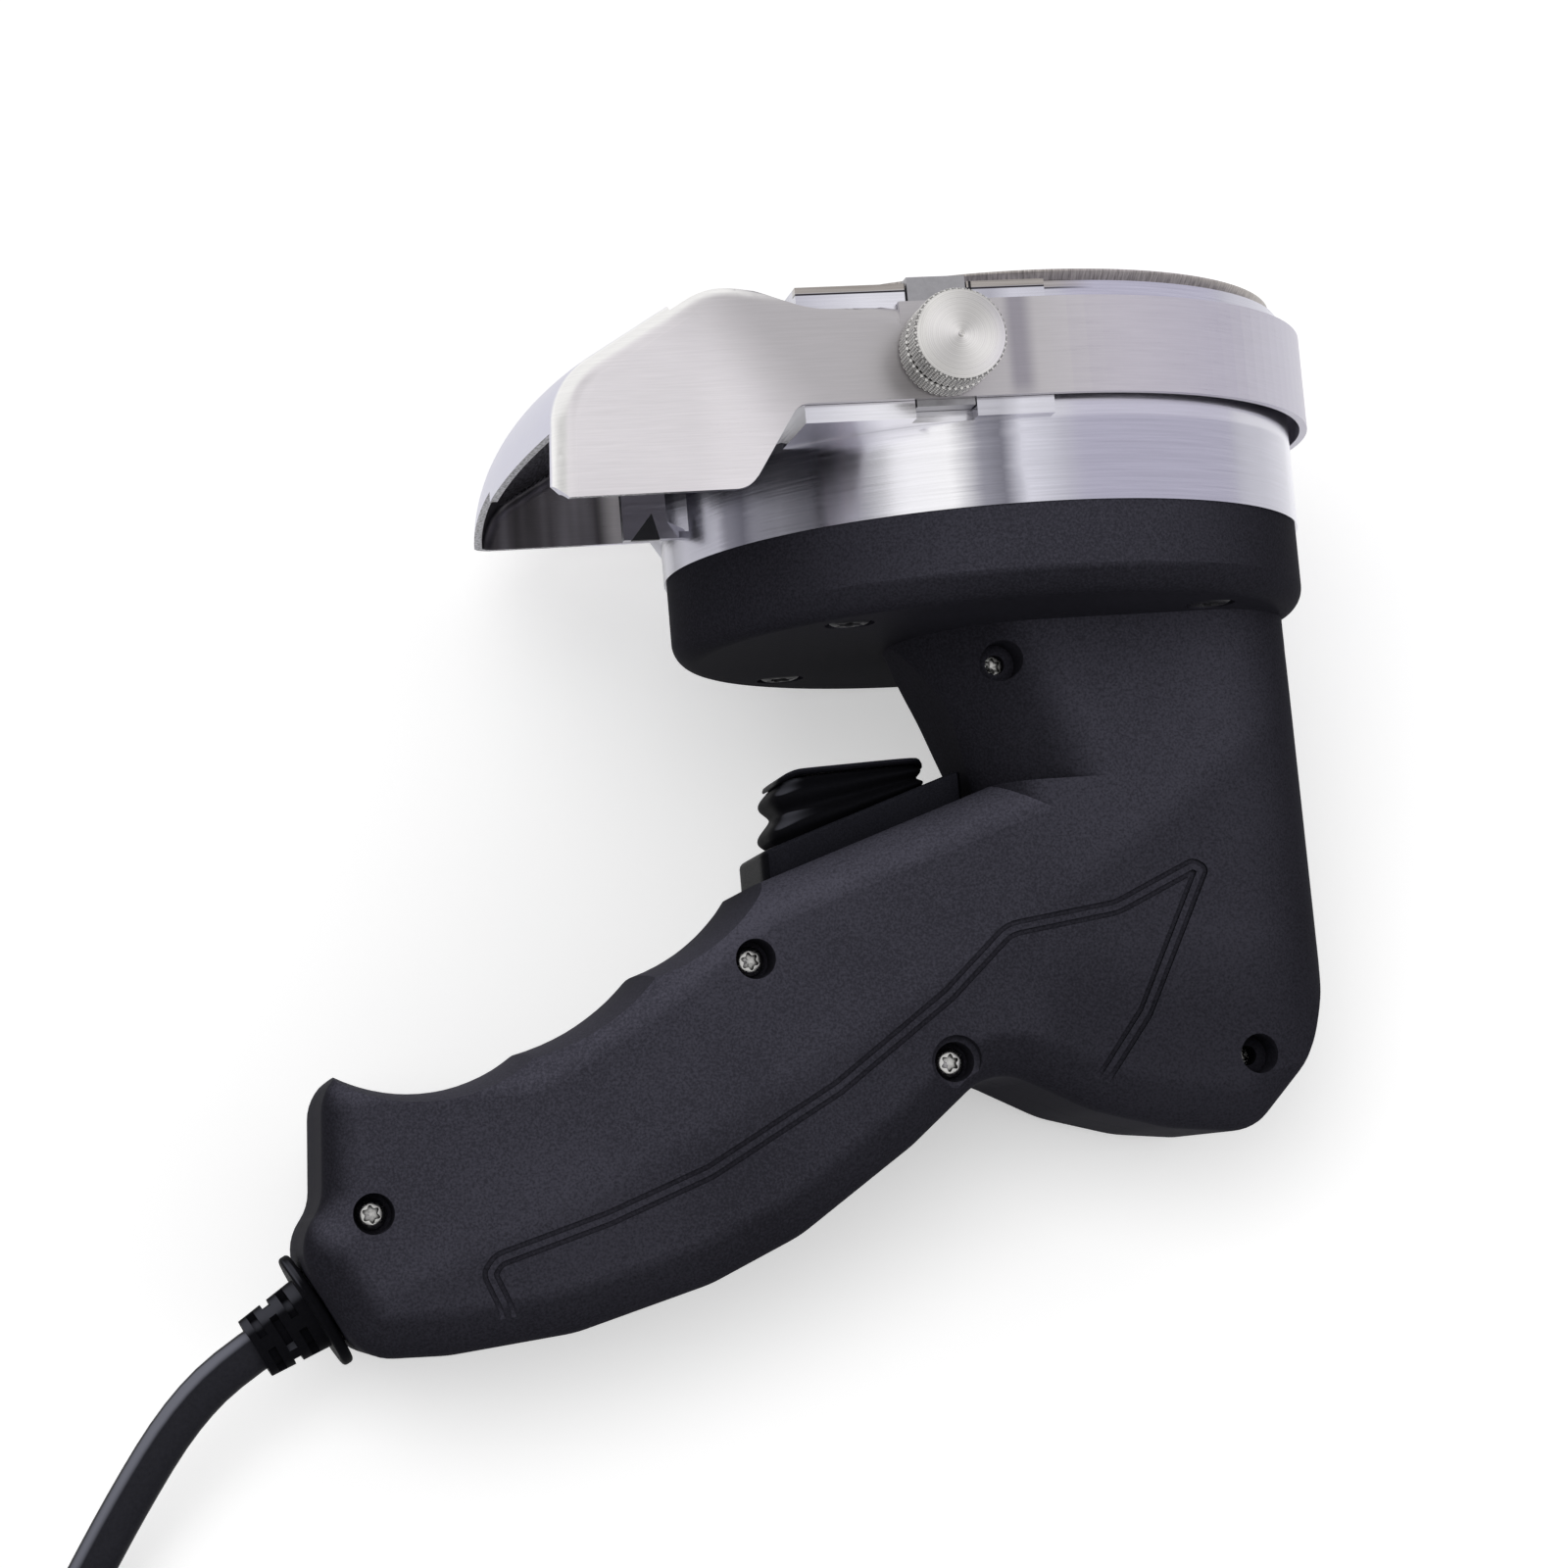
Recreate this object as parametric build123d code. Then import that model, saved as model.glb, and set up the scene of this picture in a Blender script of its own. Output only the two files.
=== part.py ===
from build123d import *
from math import atan2, cos, degrees, hypot, pi, radians, sin, tan
import os

# Everything is drawn in the tool's own frame: x to the rear, y along the blade's
# axis from the handle to the blade, z to the near side. The head's axis is the y axis and
# y = 0 is the joint between the cast head and the black collar.
# At the end the whole tool is laid on its far side, the way it lies on a table.

# Blade and spindle
blade_radius = 50.0
blade_thickness = 1.5
blade_bevel = 4.0
blade_edge = 0.35
blade_level = 34.0
spindle_radius = 5.0
spindle_flange_radius = 9.0
spindle_flange = 2.4
spindle_foot = 1.6
stud_height = 7.0
washer_radius = 12.0
washer_thickness = 1.6
nut_across = 14.0
nut_height = 5.0
bearing_radius = 11.0
bearing_height = 7.0
upper_bearing_level = 22.0
running_gap = 0.05
play = 0.3
overrun = 1.0

# Gear pair between the motor and the spindle
gear_module = 1.0
gear_teeth = 33
pinion_teeth = 9
gear_face_height = 8.0
gear_level = 2.6
pinion_extra = 1.0
tooth_height_shares = (0.82, 1.15)
tooth_width_shares = (0.30, 0.23, 0.11)
gear_web = 2.6
gear_hub_radius = 9.0
gear_rim = 3.2
motor_x = 0.5 * gear_module * (gear_teeth + pinion_teeth)

# Cast head
cup_margin = 1.3
cup_radius = blade_radius + cup_margin
cup_wall = 4.0
lip_level = 13.0
head_height = 33.4
pad_reach = 38.0
pad_margin = 1.6
pad_stand = cup_radius + pad_margin
deck_low = 12.2
deck_high = 17.5
boss_radius = 15.0
boss_top = 29.6
well_wall = 8.0
head_rib = 3.0
cup_edge = 1.2
channel_width = 9.4
channel_depth = 3.4
beak_reach = 7.0
beak_height = 8.0
beak_half_width = 13.0

# Collar and gearbox plate
collar_step = 0.4
collar_radius = cup_radius - collar_step
collar_height = 13.5
collar_wall = 4.0
collar_floor = 3.0
collar_round = 4.0
plate_thickness = 3.0
plate_gap = 0.3
plate_boss_wall = 3.0
head_screw_radius = 2.0
head_screw_head = 3.6
head_screw_cap = 2.6
head_screw_length = 12.0
head_screw_share = 0.86

# Depth guide
guide_gap = 0.25
sheet = 1.2
guide_radius = pad_stand + guide_gap + sheet
band_low = 15.7
band_high = 30.4
wing_reach = 76.0
wing_low = 3.5
wing_high = 35.0
wing_bend = 3.6
wing_round = 12.0
wing_corner = 3.0
far_wing_low = 15.3
visor_low = 13.6
visor_rear = 57.0
visor_bulge = 3.4
flange_width = 3.6
guide_drop = 1.4
guide_lift = 8.0

wing_back_share = 0.30
wing_top_shares = (0.67, 1.0)
wing_nose_shares = (0.985, 0.60)
wing_heel_shares = (0.63, 0.515)

# Thumb screws and their blocks
knob_x = -16.6
knob_level = 22.6
knob_radius = 7.0
knob_length = 11.0
knob_groove = 1.3
knob_groove_width = 1.4
knob_edge = 0.5
knob_dimple = 1.0
screw_radius = 2.5
stud_seat = 5.0
block_height = 19.6
block_gap = 0.25

# Motor
motor_radius = 20.0
motor_wall = 1.6
motor_shaft_radius = 1.6
motor_nose_radius = 6.0
motor_nose = 2.5
rotor_radius = 12.5
rotor_length_share = 0.55
magnet_wall = 4.0
magnet_length_share = 0.62
end_cap = 5.0
brush_side = 6.0
capacitor_radius = 4.0

# Handle shells
shell_wall = 2.5
shell_gap = 0.6
case_half = 27.4
case_length = 82.0
handle_reach = 118.9
handle_drop = 118.6
half_width = motor_radius + shell_gap + shell_wall
motor_room = 10.5
motor_length = case_length - end_cap - 2 * capacitor_radius - shell_wall - motor_room
edge_round = 7.0
groove_flare = 2.0
rim_step = 0.4
valley_round = 9.0
soft_round = 20.0
case_round = 19.0
neck_round = 18.0
line_width = 0.8
line_pitch = 1.7
line_depth = 0.6
pocket_radius = 3.1
pocket_depth = 7.0
boss_wall = 1.8
shell_screw_radius = 1.5
shell_screw_head = 2.3
shell_screw_cap = 1.8
shell_screw_length = 22.0

# Side outline of the handle: motor case points, from the motor's axis and the collar's
# underside, as shares of case_half and case_length, with the rounding of each corner
neck_shares = ((-1.38, 0), (-1.139, 0.134), (-0.993, 0.305))
case_shares = ((-0.566, 0.934), (-0.12, 0.979), (0.365, 1), (0.725, 0.877), (0.93, 0.735),
               (1.0, 0.585), (1, 0.299), (1.08, 0))
case_rear_shares = ((1.0, 0.0), (1.015, 0.591))
neck_front_shares = ((-1.33, 0.0), (-0.965, 0.305))
# and grip points, from the head's axis and joint, as shares of handle_reach and handle_drop
grip_shares = ((0.383, 0.435), (0.527, 0.533), (0.69, 0.623), (0.95, 0.621), (0.961, 0.797),
               (1, 0.85), (0.923, 0.996), (0.816, 1), (0.653, 0.986), (0.475, 0.94), (0.355, 0.889),
               (0.198, 0.786), (0.08, 0.691))
# finger grooves: the two ends of each chord along the grip points, and its depth
groove_depth_shares = (0.014, 0.014, 0.042)
pocket_shares = ((-0.028, 0.163), (-0.392, 0.532), (-0.14, 0.683), (-0.901, 0.815), (0.266, 0.704))
stepped_pocket_shares = pocket_shares[2]
# the decorative double line on each side
line_shares = ((-0.737, 1.057), (-0.755, 0.95), (-0.775, 0.9), (-0.757, 0.876), (-0.609, 0.835),
               (-0.477, 0.788), (-0.305, 0.696), (-0.15, 0.588), (-0.061, 0.508), (0.088, 0.489),
               (0.2, 0.44), (0.222, 0.455), (0.125, 0.644), (0.015, 0.784), (-0.105, 0.945))

# Trigger, boot and switch
trigger_share = 0.2574
trigger_length = trigger_share * handle_reach
trigger_half_width = 9.5
trigger_thickness = 2.6
trigger_press = 12.0
trigger_drop_shares = (0.118, 0.088, 0.027, 0.023)
pivot_rise = 3.1
pivot_radius = 1.9
pin_radius = 1.1
post_radius = 2.5
post_share = 0.57
post_length = 8.3
frame_height = 2.3
frame_share = 0.307
frame_reach = frame_share * handle_reach
frame_ramp = 4.5
frame_half_width = 12.2
frame_border = 2.4
boot_wall = 0.9
boot_pleat = 1.5
boot_rings = 4
boot_inset = 1.2
ear_thickness = 2.0
ear_gap = 0.2
switch_share = 0.1934
switch_length = switch_share * handle_reach
switch_height = 14.0
switch_half_width = 6.5
switch_depth = 9.0
plunger_radius = 2.2
plunger_cap = 3.2
cap_height = 1.6
slot_margin = 3.0
shelf = 2.0
terminal_rise = 3.0
blade_tab = 0.8

# Power cord
cord_diameter = 6.8
relief_flange_radius = 9.6
relief_flange = 1.8
relief_length = 12.0
relief_tail = 10.0
relief_root_radius = 5.9
relief_tip_radius = 4.9
relief_neck_radius = 6.4
relief_slot = 1.3
relief_slot_depth = 0.9
relief_slot_count = 3
clamp_width = 7.0
clamp_thickness = 3.0
cord_seat = 2.0
cord_straight = 24.0
floor_gap = 0.05
cord_floor = 0.5 * cord_diameter + floor_gap
# where the cord goes from its sleeve to the coil: steps to the right and to the back from its
# start in the sleeve, and the height over the table
cord_route = ((-36.4, -28.6, 12.0), (-49.9, -52.0, 4.8), (-57.1, -79.0, cord_floor), (-57.1, -95.0, cord_floor))

# The put-away coil, its tail and the plug
coil_radius = 47.0
coil_gap = 0.55
coil_half_turns = 5
tail_route = ((20.0, 0.0, 0.0), (43.4, 4.1, -3.2), (65.6, 13.1, -3.95), (83.9, 25.4, -3.95))
plug_thickness = 13.7
plug_width = 35.3
plug_face = 26.0
plug_length = 36.0
plug_neck_length = 12.0
plug_neck_radius = 5.2
plug_round = 3.0
pin_spacing = 19.0
plug_pin_radius = 2.0
plug_pin_length = 19.0
pin_sleeve = 10.0
pin_sleeve_radius = 1.8

# Where the tool touches the table: the far thumb screw's rim, and two places on the far lower
# edge of the handle, under a grip point and a case point
contact_grip_shares = grip_shares[8]
contact_case_shares = case_shares[2]
contact_lean_share = 0.37


def upright(radius, low, high, x=0, z=0):
    "A cylinder along the blade's axis, from one level to another."
    return Pos(x, (low + high) / 2, z) * Rot(-90, 0, 0) * Cylinder(radius, high - low)


def crosswise(radius, low, high, x=0, y=0):
    "A cylinder from side to side of the tool."
    return Pos(x, y, (low + high) / 2) * Cylinder(radius, high - low)


def block(x_range, y_range, z_range):
    "A box between two corners."
    size = [high - low for low, high in (x_range, y_range, z_range)]
    centre = [(low + high) / 2 for low, high in (x_range, y_range, z_range)]
    return Pos(*centre) * Box(*size)


def outline(points, radii=()):
    "A closed face in the side view, its corners rounded by the given radii."
    face = make_face(Polyline(*points, close=True))
    for point, radius in zip(points, radii):
        if radius > 0:
            corner = face.vertices().sort_by_distance(Vector(*point))[0]
            face = fillet(corner, radius)
    return face


def slab(face, low, high):
    "The side-view face given a thickness from one z to another."
    return extrude(Pos(0, 0, low) * face, amount=high - low, dir=(0, 0, 1))


def turned(points, x=0, z=0):
    "A solid of revolution about a line along the blade's axis; points are (radius, level)."
    return Pos(x, 0, z) * revolve(make_face(Polyline(*points, close=True)), axis=Axis.Y)


def gear(teeth, low, high, bore, x=0):
    "A spur gear with thinned straight-flanked teeth, one tooth pointing to the rear."
    pitch_radius = 0.5 * gear_module * teeth
    tip = pitch_radius + tooth_height_shares[0] * gear_module
    root = pitch_radius - tooth_height_shares[1] * gear_module
    step = 2 * pi / teeth
    points = []
    for tooth in range(teeth):
        middle = tooth * step
        flank = zip((-1, -1, -1, 1, 1, 1), (root, pitch_radius, tip, tip, pitch_radius, root),
                    tooth_width_shares + tooth_width_shares[::-1])
        for side, radius, share in flank:
            angle = middle + side * share * step
            points.append((radius * cos(angle), radius * sin(angle)))
    face = make_face(Polyline(*points, close=True)) - Circle(bore)
    return Pos(x, low, 0) * Rot(-90, 0, 0) * extrude(face, amount=high - low)


def u_shape(radius, low, high, reach):
    "The head's plan: a half disc at the rear and straight sides that run forward."
    rear = upright(radius, low, high) - block((-2 * radius, 0), (low - overrun, high + overrun),
                                              (-2 * radius, 2 * radius))
    return rear + block((-reach, 0), (low, high), (-radius, radius))


def head_housing():
    pad = u_shape(cup_radius, lip_level, head_height, pad_reach)
    for side in (-1, 1):
        faces = sorted((side * pad_stand, 0))
        pad += block((-pad_reach, 0), (lip_level, head_height), faces)
    cup = upright(cup_radius, 0, lip_level + overrun)
    head = pad + cup
    inner = cup_radius - cup_wall
    head -= upright(inner, -overrun, deck_low)
    well = u_shape(inner - well_wall, deck_high, head_height + overrun, 2 * pad_reach)
    head -= well
    head += upright(boss_radius, deck_low, boss_top)
    rib = block((-inner + well_wall, inner - well_wall), (deck_low, 0.5 * (deck_high + boss_top)),
                (-0.5 * head_rib, 0.5 * head_rib))
    head += rib & upright(inner, deck_low, boss_top)
    head += Rot(0, 90, 0) * rib & upright(inner - well_wall, deck_low, boss_top)
    head -= upright(spindle_radius + play, -overrun, boss_top + overrun)
    head -= upright(bearing_radius, upper_bearing_level, boss_top + overrun)
    for side in (-1, 1):
        floor = sorted((side * (pad_stand - channel_depth), side * (pad_stand + overrun)))
        head -= block((knob_x - 0.5 * channel_width, knob_x + 0.5 * channel_width),
                      (lip_level, head_height + overrun), floor)
    # the slice deflector on the front of the cup
    front = -sqrt_radius(cup_radius, beak_half_width)
    tip = -cup_radius - beak_reach
    beak_low = lip_level - beak_height
    profile = outline([(front, beak_low), (tip, lip_level), (front, lip_level)])
    beak = slab(profile, -beak_half_width, beak_half_width)
    top = make_face(Polyline((front, -beak_half_width), (tip, 0), (front, beak_half_width), close=True))
    plan = Pos(0, beak_low, 0) * Rot(90, 0, 0) * top
    head += beak & extrude(plan, amount=beak_height, dir=(0, 1, 0))
    for x, z in head_screw_places():
        head += upright(2 * head_screw_radius, 0, deck_low + overrun, x, z)
        head -= upright(head_screw_radius - running_gap, -overrun, screw_top() + play, x, z)
    return head


def sqrt_radius(radius, offset):
    "Half the chord of a circle at an offset from its centre."
    return (radius ** 2 - offset ** 2) ** 0.5


def head_screw_places():
    "The four screws that hold the collar and the gearbox plate to the head."
    ring = head_screw_share * (cup_radius - cup_wall)
    return [(ring * cos(radians(a)), ring * sin(radians(a))) for a in (45, 135, 225, 315)]


def screw_top():
    "How high the head screws reach."
    return -collar_height + collar_floor + plate_thickness + head_screw_length


def blade():
    "The round knife, ground from its lower face to a thin edge."
    low = blade_level
    high = blade_level + blade_thickness
    disc = turned([(spindle_radius - spindle_foot + running_gap, low), (blade_radius - blade_bevel, low),
                   (blade_radius, high - blade_edge), (blade_radius, high),
                   (spindle_radius - spindle_foot + running_gap, high)])
    return disc


def blade_spindle():
    bottom = spindle_bottom()
    stud = spindle_radius - spindle_foot
    top = blade_level + blade_thickness + stud_height
    return turned([(0, bottom), (spindle_radius, bottom), (spindle_radius, blade_level - spindle_flange),
                   (spindle_flange_radius, blade_level - spindle_flange),
                   (spindle_flange_radius, blade_level), (stud, blade_level), (stud, top), (0, top)])


def spindle_bottom():
    return -collar_height + collar_floor + play


def blade_washer():
    low = blade_level + blade_thickness
    bore = spindle_radius - spindle_foot + running_gap
    return turned([(bore, low), (washer_radius, low), (washer_radius, low + 0.5 * washer_thickness),
                   (washer_radius - 0.5 * washer_thickness, low + washer_thickness),
                   (bore, low + washer_thickness)])


def blade_nut():
    low = blade_level + blade_thickness + washer_thickness
    hexagon = Pos(0, low, 0) * Rot(-90, 0, 0) * extrude(
        RegularPolygon(0.5 * nut_across, 6, major_radius=False), amount=nut_height)
    dome = turned([(0, low), (0.5 * nut_across, low), (0.62 * nut_across, low + 0.7 * nut_height),
                   (0.45 * nut_across, low + nut_height), (0, low + nut_height)])
    return (hexagon & dome) - upright(spindle_radius - spindle_foot + running_gap, low - overrun,
                                      low + nut_height + overrun)


def bearing(low):
    "A sealed ball bearing: two rings with a shield set back between them."
    middle = 0.5 * (spindle_radius + bearing_radius)
    track = 0.18 * (bearing_radius - spindle_radius)
    body = turned([(spindle_radius + running_gap, low), (bearing_radius, low),
                   (bearing_radius, low + bearing_height), (spindle_radius + running_gap, low + bearing_height)])
    for edge, side in ((low, 1), (low + bearing_height, -1)):
        inner = edge + side * 0.08 * bearing_height
        lower, upper = sorted((edge - side * overrun, inner))
        body -= turned([(middle - track, lower), (middle + track, lower), (middle + track, upper),
                        (middle - track, upper)])
    return body


def lower_bearing_level():
    return -collar_height + collar_floor + plate_thickness - play


def gearbox_plate():
    "The plate under the gears, which carries the lower bearing and the motor."
    low = -collar_height + collar_floor
    high = low + plate_thickness
    plate = upright(cup_radius - cup_wall - plate_gap, low, high)
    plate += upright(bearing_radius + plate_boss_wall, high - play, lower_bearing_level() + 0.8 * bearing_height)
    plate -= upright(bearing_radius, lower_bearing_level(), low + 2 * bearing_height)
    plate -= upright(spindle_radius + play, low - overrun, high)
    plate -= upright(motor_nose_radius + play, low - overrun, high + bearing_height, motor_x)
    for x, z in head_screw_places():
        plate -= upright(head_screw_radius + play, low - overrun, high + overrun, x, z)
    return plate


def drive_gear():
    low = gear_level
    high = gear_level + gear_face_height
    wheel = gear(gear_teeth, low, high, spindle_radius)
    root = 0.5 * gear_module * gear_teeth - 1.15 * gear_module
    recess = 0.5 * (gear_face_height - gear_web)
    for base in (low - overrun, high - recess):
        ring = upright(root - gear_rim, base, base + recess + overrun)
        ring -= upright(gear_hub_radius, base - overrun, base + recess + 2 * overrun)
        wheel -= ring
    return wheel


def motor_pinion():
    low = gear_level - pinion_extra
    high = gear_level + gear_face_height + 0.5 * pinion_extra
    return gear(pinion_teeth, low, high, motor_shaft_radius, motor_x)


def motor_top():
    return -collar_height - play


def motor_can():
    "The drawn steel can with its two magnets, open at the foot where the brush cap sits."
    top = motor_top()
    foot = top - motor_length
    can = upright(motor_radius, foot, top, motor_x)
    can -= upright(motor_radius - motor_wall, foot - overrun, top - motor_wall, motor_x)
    can += upright(motor_nose_radius, top - overrun, top + motor_nose, motor_x)
    can -= upright(motor_shaft_radius + play, foot, top + motor_nose + overrun, motor_x)
    length = magnet_length_share * motor_length
    middle = 0.5 * (top + foot)
    shell = upright(motor_radius - motor_wall + 0.5 * play, middle - 0.5 * length, middle + 0.5 * length, motor_x)
    shell -= upright(motor_radius - motor_wall - magnet_wall, foot, top, motor_x)
    gap = 0.5 * motor_radius
    shell -= block((motor_x - motor_radius, motor_x + motor_radius), (foot, top), (-0.4 * gap, 0.4 * gap))
    return can + shell


def motor_rotor():
    "The wound armature: slotted core, commutator and shaft."
    top = motor_top()
    foot = top - motor_length
    middle = 0.5 * (top + foot)
    length = rotor_length_share * motor_length
    core = upright(rotor_radius, middle - 0.5 * length, middle + 0.5 * length, motor_x)
    for place in range(8):
        angle = radians(45 * place)
        x = motor_x + rotor_radius * cos(angle)
        z = rotor_radius * sin(angle)
        core -= upright(0.16 * rotor_radius, middle - length, middle + length, x, z)
    core += upright(0.72 * rotor_radius, middle - 0.5 * length - overrun, middle + 0.5 * length + 2 * overrun,
                    motor_x)
    core += upright(0.4 * rotor_radius, foot + 2 * overrun, middle, motor_x)
    shaft_top = gear_level + gear_face_height + pinion_extra
    core += upright(motor_shaft_radius, foot - 0.4 * end_cap, shaft_top, motor_x)
    return core


def motor_end_cap():
    "The brush cap at the motor's foot, with its two terminals."
    foot = motor_top() - motor_length
    cap = upright(motor_radius - motor_wall - running_gap, foot - end_cap, foot + 0.3 * end_cap, motor_x)
    cap -= upright(0.55 * motor_radius, foot - 0.4 * end_cap, foot + end_cap, motor_x)
    cap -= upright(motor_shaft_radius + play, foot - 0.5 * end_cap, foot, motor_x)
    for side in (-1, 1):
        z = side * 0.55 * motor_radius
        cap += block((motor_x - 0.4 * brush_side, motor_x + 0.4 * brush_side),
                     (foot - end_cap - terminal_rise, foot - end_cap + overrun), (z - 0.2 * overrun, z + 0.2 * overrun))
    return cap


def collar():
    "The black ring under the head, with the floor that carries the gearbox plate."
    low = -collar_height
    body = upright(collar_radius, low, 0)
    lower_rim = body.edges().filter_by(GeomType.CIRCLE).sort_by(Axis.Y)[:1]
    body = fillet(lower_rim, collar_round)
    body -= upright(cup_radius - cup_wall, low + collar_floor, overrun)
    body -= upright(motor_nose_radius + play, low - overrun, low + collar_floor + overrun, motor_x)
    for x, z in head_screw_places():
        body -= upright(head_screw_radius + play, low - overrun, low + collar_floor + overrun, x, z)
        body -= upright(head_screw_head + play, low - overrun, low + 0.4 * head_screw_cap, x, z)
    return body


def head_screws():
    "Four pan-head screws from under the collar into the head."
    low = -collar_height + 0.4 * head_screw_cap
    screws = []
    for x, z in head_screw_places():
        cap = upright(head_screw_head, low - head_screw_cap, low, x, z)
        shank = upright(head_screw_radius - 2 * running_gap, low - overrun, screw_top(), x, z)
        screws.append(cap + shank)
    return Compound(children=screws)


def hood(inset):
    "The wings and the visor as one full block, drawn in by the given sheet thickness."
    back = -wing_back_share * wing_reach
    half = guide_radius - inset
    faces = []
    for z, bulge in ((-half, 0), (0, visor_bulge), (half, 0)):
        points = [(back, band_high - inset),
                  (-wing_top_shares[0] * wing_reach - 0.5 * bulge, wing_top_shares[1] * wing_high - inset + 0.5 * bulge),
                  (-wing_nose_shares[0] * wing_reach + inset - bulge, wing_nose_shares[1] * wing_high + 0.5 * bulge),
                  (-wing_reach + inset - bulge, wing_low),
                  (back, wing_low)]
        radii = (0, wing_round - inset, wing_round - inset)
        faces.append(Pos(0, 0, z) * outline(points, radii))
    body = loft(faces)
    rims = [e for e in body.edges() if abs(abs(e.center().Z) - half) < 0.1 * sheet]
    front = [e for e in rims if e.center().X < back - overrun and e.center().Y > wing_low + overrun]
    return fillet(front, wing_bend - inset)


def depth_guide():
    "One formed sheet: a band round the head, a wing on each side and the curved visor."
    wings = hood(0) - hood(sheet)
    inner = guide_radius - sheet
    far_reach = -2 * wing_reach
    # the wings' top stays open as far forward as the visor's rear edge
    wings -= block((-visor_rear, 0), (wing_low - overrun, 2 * wing_high), (-inner, inner))
    # below the visor only a narrow bent flange is left along each wing's front edge
    inside = guide_radius - flange_width
    wings -= block((far_reach, 0), (-overrun, visor_low), (-inside, inside))
    wings -= block((far_reach, 0), (-overrun, far_wing_low), (-guide_radius - overrun, 0))
    tail = outline([(-wing_heel_shares[0] * wing_reach, wing_low - overrun),
                    (-wing_heel_shares[1] * wing_reach, band_low), (0, band_low), (0, wing_low - overrun)],
                   (0, wing_corner))
    wings -= slab(tail, -2 * guide_radius, 2 * guide_radius)
    wings -= slab(outline([(0, band_high), (-2 * wing_reach, band_high + 2 * wing_high), (0, 2 * wing_high)]),
                  -overrun, overrun)
    toe = outline([(-wing_reach - overrun, wing_low - overrun), (-wing_reach - overrun, wing_low + wing_corner),
                   (-wing_reach + wing_corner, wing_low - overrun)])
    wings -= slab(toe, 0, 2 * guide_radius)
    band = u_shape(guide_radius, band_low, band_high, wing_back_share * wing_reach)
    band -= u_shape(inner, band_low - overrun, band_high + overrun, wing_reach)
    guide = band + wings
    for side in (-1, 1):
        faces = sorted((side * 0.5 * guide_radius, side * 2 * guide_radius))
        guide -= crosswise(screw_radius + play, *faces, knob_x, knob_level)
    return guide


def guide_block(side):
    "The block that slides in the head's channel and takes the thumb screw."
    outer = pad_stand + 0.5 * guide_gap
    inner = pad_stand - channel_depth + block_gap
    half = 0.5 * channel_width - block_gap
    low = lip_level + guide_drop + play
    body = block((knob_x - half, knob_x + half), (low, low + block_height), sorted((side * inner, side * outer)))
    return body - crosswise(screw_radius + running_gap, *sorted((side * (inner - overrun), side * (outer + overrun))),
                            knob_x, knob_level)


def screw_stud(side):
    "The thumb screw's stud, pressed into the knob and turned into the block."
    tip = pad_stand - channel_depth + 2 * block_gap
    return crosswise(screw_radius, *sorted((side * tip, side * (knob_base() + stud_seat))), knob_x, knob_level)


def knob_base():
    return guide_radius + play


def thumb_screw(side):
    "A turned knob: two knurled rings with a groove between, and the bore for its stud."
    base = knob_base()
    top = base + knob_length
    half_groove = 0.5 * knob_groove_width
    middle = base + 0.5 * knob_length
    seat = base + stud_seat
    points = [(0, seat), (screw_radius, seat), (screw_radius, base), (knob_radius - knob_edge, base),
              (knob_radius, base + knob_edge), (knob_radius, middle - half_groove),
              (knob_radius - knob_groove, middle - half_groove), (knob_radius - knob_groove, middle + half_groove),
              (knob_radius, middle + half_groove), (knob_radius, top - knob_edge), (knob_radius - knob_edge, top),
              (0.35 * knob_radius, top), (0, top - knob_dimple)]
    knob = revolve(make_face(Polyline(*points, close=True)), axis=Axis.Y)
    return Pos(knob_x, knob_level, 0) * Rot(side * 90, 0, 0) * knob


def neck_point(place):
    a, b = place
    return motor_x + a * case_half, -collar_height - b * case_length


def grip_point(place):
    a, b = place
    return -a * handle_reach, -b * handle_drop


def side_point(place):
    a, b = place
    return a * handle_reach, -b * handle_drop


def handle_outline():
    "The whole side outline of the handle, without the finger grooves."
    points = [neck_point(p) for p in neck_shares]
    points += [grip_point(p) for p in grip_shares]
    points += [neck_point(p) for p in case_shares]
    corner = edge_round + 2 * rim_step
    radii = [0, soft_round, 0]
    radii += [corner, corner, corner, corner, corner, corner, corner, soft_round, soft_round, soft_round,
              soft_round, soft_round, valley_round]
    radii += [soft_round, soft_round, corner, 1.5 * corner, 1.5 * corner, soft_round, soft_round, 0]
    return outline(points, radii)


def groove_cutters(grow):
    "Waisted rollers that press the three finger grooves into the grip."
    cutters = []
    for place, depth_share in enumerate(groove_depth_shares):
        ax, ay = grip_point(grip_shares[place])
        bx, by = grip_point(grip_shares[place + 1])
        chord = hypot(bx - ax, by - ay)
        depth = depth_share * handle_drop
        radius = (0.25 * chord ** 2 + depth ** 2) / (2 * depth)
        nx, ny = (by - ay) / chord, -(bx - ax) / chord
        away = radius - depth
        cx = 0.5 * (ax + bx) + away * nx
        cy = 0.5 * (ay + by) + away * ny
        waist = radius + grow
        profile = Polyline((waist + groove_flare, half_width), (0, half_width), (0, -half_width),
                           (waist + groove_flare, -half_width))
        side = ThreePointArc((waist + groove_flare, -half_width), (waist, 0), (waist + groove_flare, half_width))
        roller = revolve(make_face([profile, side]), axis=Axis.Y)
        cutters.append(Pos(cx, cy, 0) * Rot(90, 0, 0) * roller)
    return cutters


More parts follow.
